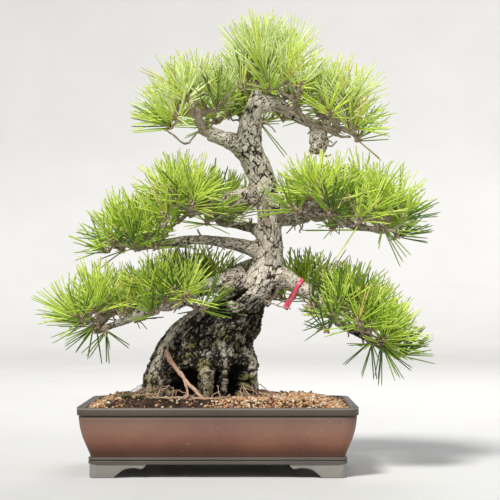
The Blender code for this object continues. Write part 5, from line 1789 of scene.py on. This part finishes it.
def paired_shade(shade, rng):
    """Shade of one pair of needles: mostly its brush's own, some darker, few brighter or dead."""
    order = list(NEEDLE_COLOURS)
    mine = order.index(shade)
    darkest = order.index("dark")
    draw = rng.random()
    if draw < DEAD_DRAW:
        return "straw"
    if draw < MUCH_DARKER_DRAW:
        mine = min(mine + 2, darkest)
    elif draw < DARKER_DRAW:
        mine = min(mine + 1, darkest)
    elif draw < BRIGHTER_DRAW and mine > 1:
        mine -= 1
    return order[mine]


def kept_needles(rows, cell, limbs):
    """Lines of the needles that end near their mass's cell and are clear of the limbs."""
    spots = needle_lines(np.array(rows))
    keep = inside_cell(spots[:, -1], cell, -CELL_OVERLAP)
    for step in (2, 3, 4):
        keep &= clear_of_limbs(spots[:, step], NEEDLE_CLEARANCE, limbs)
    return spots[keep]


def make_needles(rows, materials):
    """The needles of each shade, in pieces of a limited number of faces."""
    each = 3 * (len(NEEDLE_STEPS) - 1) * 2 + 2
    for shade, groups in rows.items():
        spots = np.concatenate(groups)
        parts = math.ceil(len(spots) * each / PIECE_LIMIT)
        for number, some in enumerate(np.array_split(spots, parts), 1):
            points, faces, kinds = needle_mesh(some)
            mesh_piece(f"needles_{shade}_{number}", points, faces,
                       [materials[shade], materials["sheath"], materials[f"{shade}_tip"]],
                       "pine_needle", kinds, nodes=FOLIAGE_NODES)


def make_foliage(lines, materials):
    """Twigs, buds, scales and needles of all masses, the needles dealt out by shade."""
    limbs = limb_samples(lines)
    cells = mass_cells()
    twigs = []
    buds = []
    scales = []
    rows = {shade: [] for shade in NEEDLE_COLOURS}
    for spec in MASSES:
        name, carrier, centre, half, fall, _ = spec
        tree, shoots = grow_mass(spec, lines, cells, limbs)
        base = APEX_TWIG if carrier == "trunk" else lines[carrier][1][-1] * 1.02
        twigs += twig_shapes(tree, base)
        rng = random.Random(name + " needles")
        found = {shade: [] for shade in NEEDLE_COLOURS}
        for shoot in shoots:
            place, lean, _, spread = shoot
            height = (place.z - centre[2]) / half[2] - fall * (place.x - centre[0]) / half[2]
            shade = shade_of(place, spread, height, rng)
            brush = brush_needles(shoot, rng)
            scales += scale_rows(shoot, rng)
            for k in range(0, len(brush), 2):
                found[paired_shade(shade, rng)] += brush[k:k + 2]
            buds.append(bud_shape(place, lean, rng.uniform(0.005, 0.010)))
        for shade, some in found.items():
            if some:
                rows[shade].append(kept_needles(some, cells[name], limbs))
    mesh_piece("twigs", *joined(twigs), [materials["twig"]], "pale_bark", nodes=FOLIAGE_NODES)
    mesh_piece("buds", *joined(buds), [materials["bud"]], "pale_bark")
    points, faces, _ = needle_mesh(needle_lines(np.array(scales)), SCALE_RADIUS)
    mesh_piece("scales", points, faces, [materials["bud"]], "pale_bark")
    make_needles(rows, materials)


# Soil

def on_level_ground(x, y):
    """Whether the trunk or one of the resting roots lies on this place."""
    for start, middle, end in ROOT_ROUTES:
        if math.dist((x, y), middle) < math.dist(start, end) / 2 + ROOT_REST:
            return True
    centre_x, centre_y, half_x, half_y = FOOT_GROUND
    return math.hypot((x - centre_x) / half_x, (y - centre_y) / half_y) < 1


def heap_places():
    """Places of the soil's top in staggered rows, with the depth that each one is sunk by."""
    half_x = POT_WIDTH / 2 - RIM_LIP - HEAP_MARGIN
    half_y = POT_DEPTH / 2 - RIM_LIP - HEAP_MARGIN
    rows = round(half_y / (HEAP_STEP * HEAP_ROW))
    columns = round(half_x / HEAP_STEP)
    rng = random.Random("heaps")
    places = []
    for row in range(-rows, rows + 1):
        for column in range(-columns, columns + 1):
            x = (column + 0.5 * (row % 2)) * HEAP_STEP + rng.uniform(-HEAP_SHIFT, HEAP_SHIFT)
            y = row * HEAP_STEP * HEAP_ROW + rng.uniform(-HEAP_SHIFT, HEAP_SHIFT)
            depth = HEAP_DEPTH * rng.uniform(HEAP_LEAST, 1)
            if (column - row // 2 - row) % 3 == 0:
                depth = 0.0
            places.append((x, y, 0.0 if on_level_ground(x, y) else depth - HEAP_RISE))
    return np.array(places)


HEAP_PLACES = heap_places()


def soil_height(x, y):
    """Height of the soil's top: a mound that falls to the pot's lip, with hollows between heaps."""
    over_x = np.abs(x - MOUND_X) - MOUND_HALF_X
    over_y = np.abs(y) - MOUND_HALF_Y
    outside = np.hypot(np.maximum(over_x, 0), np.maximum(over_y, 0))
    room = np.minimum(POT_WIDTH / 2 - RIM_LIP - np.abs(x) + 1e-6,
                      POT_DEPTH / 2 - RIM_LIP - np.abs(y) + 1e-6)
    share = np.clip(outside / np.maximum(outside + room, 1e-6), 0, 1)
    depth = np.zeros(len(x))
    for start in range(0, len(x), 2000):
        part = slice(start, start + 2000)
        apart = np.hypot(x[part, None] - HEAP_PLACES[:, 0], y[part, None] - HEAP_PLACES[:, 1])
        weight = np.exp(-(apart / HEAP_BLEND) ** 2) + 1e-12
        depth[part] = (weight * HEAP_PLACES[:, 2]).sum(axis=1) / weight.sum(axis=1)
    return GROUND - (GROUND - SOIL_EDGE) * eased(share, *MOUND_FALL) - depth


def ground_under(point):
    """Height of the soil's top under a point."""
    return soil_height(np.array([point.x]), np.array([point.y]))[0]


def make_soil(bed):
    """The closed bed of soil; returns half its sizes and its corner radius."""
    half_x = POT_WIDTH / 2 - RIM_LIP - SOIL_GAP
    half_y = POT_DEPTH / 2 - RIM_LIP - SOIL_GAP
    x, y = np.meshgrid(np.linspace(-half_x, half_x, SOIL_STEPS[0]),
                       np.linspace(-half_y, half_y, SOIL_STEPS[1]), indexing="ij")
    # The grid's corners are drawn in to the pot's round corners
    corner = POT_CORNER - 0.6 * RIM_LIP
    over_x = np.maximum(np.abs(x) - (half_x - corner), 0)
    over_y = np.maximum(np.abs(y) - (half_y - corner), 0)
    reach = np.hypot(over_x, over_y)
    pull = np.where(reach > 1e-9, np.maximum(over_x, over_y) / np.maximum(reach, 1e-9), 1.0)
    x = np.sign(x) * (np.abs(x) - over_x + over_x * pull)
    y = np.sign(y) * (np.abs(y) - over_y + over_y * pull)
    flat = np.column_stack((x.ravel(), y.ravel(), np.zeros(x.size)))
    z = soil_height(flat[:, 0], flat[:, 1]) + SOIL_BUMPS * layered(flat / SOIL_BUMP_WIDTH, 111, 3) - SOIL_SINK
    top = np.column_stack((flat[:, :2], z))
    low = np.column_stack((flat[:, :2] * SOIL_TAPER, np.full(len(flat), SOIL_BOTTOM)))
    points = np.concatenate((top, low))
    index = np.arange(len(flat)).reshape(SOIL_STEPS)
    corners = (index[:-1, :-1], index[1:, :-1], index[1:, 1:], index[:-1, 1:])
    upper = np.stack([corner_index.ravel() for corner_index in corners], axis=1)
    lower = upper[:, ::-1] + len(flat)
    border = np.concatenate((index[:-1, 0], index[-1, :-1], index[:0:-1, -1], index[0, :0:-1]))
    after = np.roll(border, -1)
    wall = np.stack((border, border + len(flat), after + len(flat), after), axis=1)
    mesh_piece("soil_bed", points, np.concatenate((upper, lower, wall)), [bed], "soil_grit", nodes=["soil"])
    return half_x, half_y, corner


def icosahedron():
    """Points and outward triangles of a regular body with 20 faces."""
    golden = (1 + math.sqrt(5)) / 2
    points = []
    for a in (-1, 1):
        for b in (-golden, golden):
            points += [(0, a, b), (a, b, 0), (b, 0, a)]
    points = np.array(points, dtype=float)
    points /= np.linalg.norm(points[0])
    faces = []
    for i in range(12):
        for j in range(i + 1, 12):
            for k in range(j + 1, 12):
                sides = [np.linalg.norm(points[a] - points[b]) for a, b in ((i, j), (j, k), (i, k))]
                if max(sides) < 1.1:
                    outward = np.cross(points[j] - points[i], points[k] - points[i]) @ points[i]
                    faces.append((i, j, k) if outward > 0 else (i, k, j))
    return points, np.array(faces)


def rotations(turns):
    """Rotation matrices from rows of four random numbers, taken as quaternions."""
    w, a, b, c = unit(turns).T
    rows = (1 - 2 * (b * b + c * c), 2 * (a * b - c * w), 2 * (a * c + b * w),
            2 * (a * b + c * w), 1 - 2 * (a * a + c * c), 2 * (b * c - a * w),
            2 * (a * c - b * w), 2 * (b * c + a * w), 1 - 2 * (a * a + b * b))
    return np.stack(rows, axis=1).reshape(-1, 3, 3)


def grain_places(half_x, half_y, corner, rng):
    """Places of the grains over the soil, and for each a draw that says of which kind it is."""
    x, y = np.meshgrid(np.arange(-half_x, half_x, GRAIN_SPACING), np.arange(-half_y, half_y, GRAIN_SPACING))
    places = np.column_stack((x.ravel(), y.ravel())) + rng.uniform(-GRAIN_SHIFT, GRAIN_SHIFT, (x.size, 2))
    over = np.maximum(np.abs(places) - np.array((half_x - corner, half_y - corner)), 0)
    inside = np.linalg.norm(over, axis=1) < corner - GRAIN_EDGE
    inside &= np.all(np.abs(places) < np.array((half_x, half_y)) - GRAIN_EDGE, axis=1)
    centres, halves = station(np.full(len(places), GROUND))
    inside &= np.linalg.norm((places - centres) / halves, axis=1) > GRAIN_TRUNK_SHARE
    places = places[inside]
    kind_draw = rng.random(len(places))
    for x, y, half_wide, half_deep in HUMUS_PATCHES:
        reach = np.hypot((places[:, 0] - x) / half_wide, (places[:, 1] - y) / half_deep)
        reach += rng.uniform(-HUMUS_RAGGED, HUMUS_RAGGED, len(places))
        damp = (reach < 0.95) & (rng.random(len(places)) < HUMUS_SHARE)
        kind_draw[damp] = 1.5
    return places, kind_draw


def make_grains(half_x, half_y, corner, materials):
    """Loose grains of grit and humus over the soil, each kind one piece."""
    ball, ball_faces = icosahedron()
    rng = np.random.default_rng(16)
    places, kind_draw = grain_places(half_x, half_y, corner, rng)
    start = 0.0
    for name, share, least, most in GRAIN_KINDS:
        mine = places[(kind_draw >= start) & (kind_draw < start + share)]
        start += share
        count = len(mine)
        radius = rng.uniform(least, most, count)
        z = soil_height(mine[:, 0], mine[:, 1]) + radius * rng.uniform(*GRAIN_RISE, count) - GRAIN_SINK
        spin = rotations(rng.normal(size=(count, 4)))
        squash = rng.uniform(*GRAIN_SQUASH, (count, 1, 3))
        rough = rng.uniform(*GRAIN_ROUGHNESS, (count, len(ball), 1))
        shapes = np.einsum("nij,npj->npi", spin, ball[None] * rough * squash) * radius[:, None, None]
        points = shapes + np.column_stack((mine, z))[:, None]
        faces = ball_faces[None] + (np.arange(count) * len(ball))[:, None, None]
        mesh_piece(f"grains_{name}", points.reshape(-1, 3), faces.reshape(-1, 3), [materials[name]],
                   "soil_grit", smooth=False)


# Small things

def make_fine_roots(material):
    """Fine pale roots that lie over the soil round the flare."""
    rng = random.Random("fine roots")
    shapes = []
    for *route, rise, size in FINE_ROOTS:
        line = smooth_curve([(x, y, 0) for x, y in route], 0.004)
        for i, point in enumerate(line):
            share = i / (len(line) - 1)
            point.z = ground_under(point) + size * 0.8 + 0.0008 + rise * share ** 3
            if 0 < i < len(line) - 1:
                point += jitter(rng, 0.0007)
        shapes.append(rough_tube(line, np.linspace(0.45, 1.0, len(line)) * size, 7, 0.15, 0.006, 121))
        for _ in range(3):
            i = rng.randrange(2, len(line) - 2)
            start = line[i]
            end = start + spoke(rng.uniform(0, 2 * math.pi)) * rng.uniform(0.010, 0.022)
            end.z = ground_under(end) + 0.0012
            middle = start.lerp(end, 0.5) + Vector((rng.gauss(0, 0.002), rng.gauss(0, 0.002), 0.0012))
            branch = smooth_curve((start, middle, end), 0.004)
            shapes.append(tube(branch, np.linspace(size * 0.42, 0.0004, len(branch)), 5))
    nodes = [f"surface_root_{number}" for number in range(1, 5)]
    mesh_piece("fine_roots", *joined(shapes), [material], "pale_bark", nodes=nodes)


def make_rootlets(material):
    """Fine fibrous roots that arch from the foot of the flare down to the soil."""
    rng = random.Random("rootlets")
    shapes = []
    for low, high, count in ROOTLET_FANS:
        for _ in range(count):
            angle = math.radians(rng.uniform(low, high))
            height = rng.uniform(*ROOTLET_HEIGHT)
            centres, halves = station(np.array([height]))
            way = spoke(angle)
            start = Vector((centres[0, 0] + halves[0, 0] * way.x * 0.95,
                            centres[0, 1] + halves[0, 1] * way.y * 0.95, height))
            for _ in range(rng.choice((1, 2, 2))):
                side = Vector((-way.y, way.x, 0)) * rng.gauss(0, 1)
                reach = rng.uniform(*ROOTLET_REACH)
                end = start + way * reach + side * reach * 0.6
                end.z = ground_under(end) + 0.0006
                middle = start.lerp(end, 0.5) + side * 0.004 + Vector((0, 0, rng.uniform(-0.001, 0.005)))
                line = smooth_curve((start, middle, end), 0.0025)
                for point in line[1:-1]:
                    point += jitter(rng, 0.0006)
                size = rng.choice(ROOTLET_SIZES)
                shapes.append(tube(line, np.linspace(1.0, 0.5, len(line)) * size, 6))
    mesh_piece("rootlets", *joined(shapes), [material], "pale_bark")


def make_slant_root(material):
    """Straight young root that slants down the front of the flare, with three rootlets."""
    line = smooth_curve((SLANT_ROOT_START,) + SLANT_ROOT, 0.0015)
    spots = np.array([tuple(p) for p in line])
    for k in range(3):
        spots[:, k] += 0.0011 * noise(spots / 0.011, 144 + k)
    line = [Vector(spot) for spot in spots]
    radii = np.interp(np.linspace(0, 1, len(line)), (0, 0.12, 0.55, 1), (0.55, 0.98, 0.84, 0.60))
    radii *= SLANT_ROOT_RADIUS
    radii *= 1 + 0.22 * noise(spots / 0.0050, 141) + 0.10 * noise(spots / 0.0022, 142)
    shapes = [tube(line, radii, 12)]
    for start, route in zip((line[len(line) * 6 // 10], line[-4], line[-3]), SLANT_ROOTLETS):
        branch = smooth_curve((start, *route), 0.003)
        shapes.append(rough_tube(branch, np.linspace(0.0021, 0.0009, len(branch)), 8, 0.25, 0.004, 143))
    mesh_piece("slant_root", *joined(shapes), [material], "pale_bark")


def gnarled_spur(line, radii, rng):
    """Short crooked dead spur on the outer part of a bough."""
    i = rng.randrange(len(line) // 3, len(line) - 1)
    ahead = (line[i + 1] - line[i]).normalized()
    side = Matrix.Rotation(rng.uniform(0, 2 * math.pi), 3, ahead) @ ahead.orthogonal().normalized()
    way = (side + ahead * rng.uniform(0.1, 0.9)).normalized()
    points = [line[i] + side * radii[i] * 0.5]
    for _ in range(rng.choice((2, 3, 3))):
        points.append(points[-1] + way * rng.uniform(*SPUR_STEP))
        way = (way + jitter(rng, SPUR_BEND)).normalized()
    spur = smooth_curve(points, 0.0025)
    size = rng.uniform(*SPUR_RADIUS)
    return rough_tube(spur, np.linspace(1.2, 0.9, len(spur)) * size, 7, 0.22, 0.0032, 133)


def make_bare_twigs(lines, material):
    """Thin dead twigs that cross the open places, and short spurs on all boughs."""
    rng = random.Random("bare twigs")
    shapes = []
    for size, *route in BARE_TWIGS:
        line = smooth_curve(route, 0.004)
        for point in line[1:-1]:
            point += jitter(rng, 0.0005)
        shapes.append(rough_tube(line, np.linspace(1.0, 0.75, len(line)) * size, 8, 0.18, 0.005, 131))
    for line, radii in lines.values():
        for _ in range(round(len(line) * SPUR_SHARE)):
            shapes.append(gnarled_spur(line, radii, rng))
    mesh_piece("bare_twigs", *joined(shapes), [material], "pale_bark")


def tag_outline(loop):
    """Distances down and away at even steps of the closed strip: round the bough and its lower end."""
    outline = []
    lean = math.asin((loop - TAG_END_RADIUS) / TAG_LENGTH)
    for middle, size, first, last, steps in (
            (0.0, loop, math.pi / 2 + lean, 1.5 * math.pi - lean, 16),
            (TAG_LENGTH, TAG_END_RADIUS, -math.pi / 2 - lean, math.pi / 2 + lean, 10)):
        for k in range(steps + 1):
            angle = first + (last - first) * k / steps
            outline.append((middle + size * math.cos(angle), size * math.sin(angle)))
    closed = np.array(outline + outline[:1])
    lengths = distances_along(closed)
    at = np.linspace(0, lengths[-1], TAG_STEPS, endpoint=False)
    return np.interp(at, lengths, closed[:, 0]), np.interp(at, lengths, closed[:, 1])


def make_tag(lines, material):
    """Blank strip hung round the bough in a closed loop, its rear strand a little to the left."""
    centre, loop, axis, down, side = tag_frame(lines)
    along, across = tag_outline(loop)
    rows = []
    for width, grow in TAG_SECTION:
        points = []
        for k in range(TAG_STEPS):
            before = Vector((along[k - 1], across[k - 1], 0))
            after = Vector((along[(k + 1) % TAG_STEPS], across[(k + 1) % TAG_STEPS], 0))
            out = (after - before).normalized().cross(Vector((0, 0, 1)))
            reach = grow * TAG_THICKNESS / 2
            twist = TAG_TWIST * max(along[k], 0) / TAG_LENGTH
            shift = width * TAG_WIDTH / 2
            spot = centre + down * (along[k] + out.x * reach)
            spot += side * (across[k] + out.y * reach + shift * twist)
            spot += axis * (shift - TAG_SPREAD * math.tanh(across[k] / TAG_SPREAD_BLEND))
            points.append(spot)
        rows.append(np.array(points))
    quads = np.concatenate([band(a * TAG_STEPS, (a + 1) % len(rows) * TAG_STEPS, TAG_STEPS)
                            for a in range(len(rows))])
    mesh_piece("blank_tag", np.concatenate(rows), quads, [material], "red_plastic", nodes=["red_tag"])


def tag_material():
    """Scuffed red plastic."""
    shader = Shader("tag_plastic", Roughness=0.38, Specular_IOR_Level=0.5)
    place = shader.place()
    scuff = shader.noise(shader.stretch(place, (1.0, 1.0, 0.3)), 210.0, 5.0, 0.6)
    colour = shader.ramp(scuff, (0.35, (0.60, 0.045, 0.105)), (0.60, (0.76, 0.110, 0.185)),
                         (0.80, (0.84, 0.28, 0.34)))
    shader.bump(scuff, 0.25, 0.0005)
    return shader.finish(colour)


def moss_material():
    """Dark moss with paler patches."""
    shader = Shader("moss", Specular_IOR_Level=0.2)
    place = shader.place()
    patch = shader.noise(place, 90.0, 4.0, 0.6)
    colour = shader.ramp(patch, (0.30, (0.020, 0.032, 0.008)), (0.55, (0.065, 0.085, 0.018)),
                         (0.75, (0.140, 0.150, 0.035)))
    return shader.finish(colour, 0.95)


def make_moss(material):
    """Low cushions of moss blades on the soil by the flare."""
    rng = np.random.default_rng(5)
    roots = []
    for x, y, half_x, half_y, count in MOSS_PATCHES:
        turn = rng.uniform(0, 2 * math.pi, count)
        reach = np.sqrt(rng.random(count))
        spot = np.column_stack((x + half_x * reach * np.cos(turn), y + half_y * reach * np.sin(turn)))
        z = soil_height(spot[:, 0], spot[:, 1]) + 0.0010 + 0.0014 * (1 - reach)
        roots.append(np.column_stack((spot, z)))
    roots = np.concatenate(roots)
    aims = unit(rng.normal(size=roots.shape) * 0.5 + np.array((0, 0, 1)))
    length = rng.uniform(*MOSS_BLADE, len(roots))[:, None]
    side = unit(np.cross(aims, rng.normal(size=roots.shape)))
    third = np.cross(aims, side)
    corners = [roots + (side * math.cos(a) + third * math.sin(a)) * MOSS_BLADE_RADIUS
               for a in (0, 2.094, 4.189)]
    points = np.stack(corners + [roots + aims * length], axis=1).reshape(-1, 3)
    base = (np.arange(len(roots)) * 4)[:, None]
    faces = np.stack([base + np.array(f) for f in ((0, 2, 1), (0, 1, 3), (1, 2, 3), (2, 0, 3))], axis=1)
    mesh_piece("moss", points, faces.reshape(-1, 3), [material], "soil_grit", smooth=False)


# Stage

def make_stage():
    """A pale floor that curves up into a plain backdrop all round."""
    angles = 2 * math.pi * np.arange(FLOOR_SIDES) / FLOOR_SIDES
    rings = [np.stack((radius * np.cos(angles), radius * np.sin(angles), np.full(FLOOR_SIDES, z)), axis=1)
             for radius, z in FLOOR_RINGS]
    faces = np.concatenate([band(i * FLOOR_SIDES, (i + 1) * FLOOR_SIDES, FLOOR_SIDES)
                            for i in range(len(rings) - 1)])
    mesh = bpy.data.meshes.new("floor")
    mesh.from_pydata(np.concatenate(rings).tolist(), [], faces.tolist())
    mesh.shade_smooth()
    shader = Shader("pale_floor", Roughness=0.85, Specular_IOR_Level=0.2)
    cloud = shader.noise(shader.place(), 3.0)
    colour = shader.ramp(cloud, (0.3, (0.60, 0.60, 0.595)), (0.7, (0.63, 0.63, 0.625)))
    mesh.materials.append(shader.finish(colour))
    add_object("floor", mesh)


def add_light(name, place, size, watts, colour):
    """A round soft light that shines at the tree."""
    data = bpy.data.lights.new(name, "AREA")
    data.shape = "DISK"
    data.size = size
    data.energy = watts
    data.color = colour
    light = add_object(name, data)
    light.location = Vector(place) + ORIGIN
    light.rotation_euler = (Vector(LIGHT_AIM) - Vector(place)).to_track_quat("-Z", "Y").to_euler()


def make_lights():
    """Plain studio light: a pale world, a soft sun, a fill and a rear light."""
    world = bpy.data.worlds.new("studio")
    world.use_nodes = True
    background = world.node_tree.nodes["Background"]
    background.inputs[0].default_value = WORLD_COLOUR
    background.inputs[1].default_value = WORLD_STRENGTH
    bpy.context.scene.world = world
    key = bpy.data.lights.new("key", "SUN")
    key.energy = SUN_STRENGTH
    key.angle = SUN_ANGLE
    key.color = SUN_COLOUR
    add_object("key", key).rotation_euler = Vector(SUN_WAY).to_track_quat("-Z", "Y").to_euler()
    for row in SOFT_LIGHTS:
        add_light(*row)


def make_camera():
    """The camera that took the photograph."""
    data = bpy.data.cameras.new("camera")
    data.lens = CAMERA_LENS
    data.sensor_width = CAMERA_SENSOR
    camera = add_object("camera", data)
    camera.location = Vector(CAMERA_PLACE) + ORIGIN
    camera.rotation_euler = (math.pi / 2 + CAMERA_PITCH, 0, 0)
    bpy.context.scene.camera = camera


def make_materials():
    """All materials, by key."""
    made = {}
    for name, tones in CLAYS.items():
        made[name] = clay_material(f"pot_{name}_clay", *tones)
    made["bark"] = bark_material()
    for name, tones in TWIG_TONES.items():
        made[name] = twig_material(MATERIAL_NAMES.get(name, name), *tones)
    for name, tones in GRAIN_TONES.items():
        made[name] = grain_material(MATERIAL_NAMES.get(name, name), *tones)
    made["tag"] = tag_material()
    made["moss"] = moss_material()
    for shade, colour in NEEDLE_COLOURS.items():
        made[shade] = needle_material(f"needle_{shade}", colour)
        tip = tuple((1 - TIP_SHARE) * own + TIP_SHARE * dry for own, dry in zip(colour, TIP_COLOUR))
        made[f"{shade}_tip"] = needle_material(f"needle_{shade}_tip", tip)
    return made


def main():
    bpy.context.scene.view_settings.view_transform = "Standard"
    make_camera()
    make_lights()
    make_stage()
    materials = make_materials()
    lines = bough_lines()
    make_pot(materials["wall"], materials["rim"])
    make_feet(materials["rim"])
    half_x, half_y, corner = make_soil(materials["bed"])
    make_grains(half_x, half_y, corner, materials)
    make_wood(lines, materials["bark"])
    make_foliage(lines, materials)
    make_fine_roots(materials["root"])
    make_rootlets(materials["young_root"])
    make_slant_root(materials["young_root"])
    make_bare_twigs(lines, materials["twig"])
    make_moss(materials["moss"])
    make_tag(lines, materials["tag"])


main()
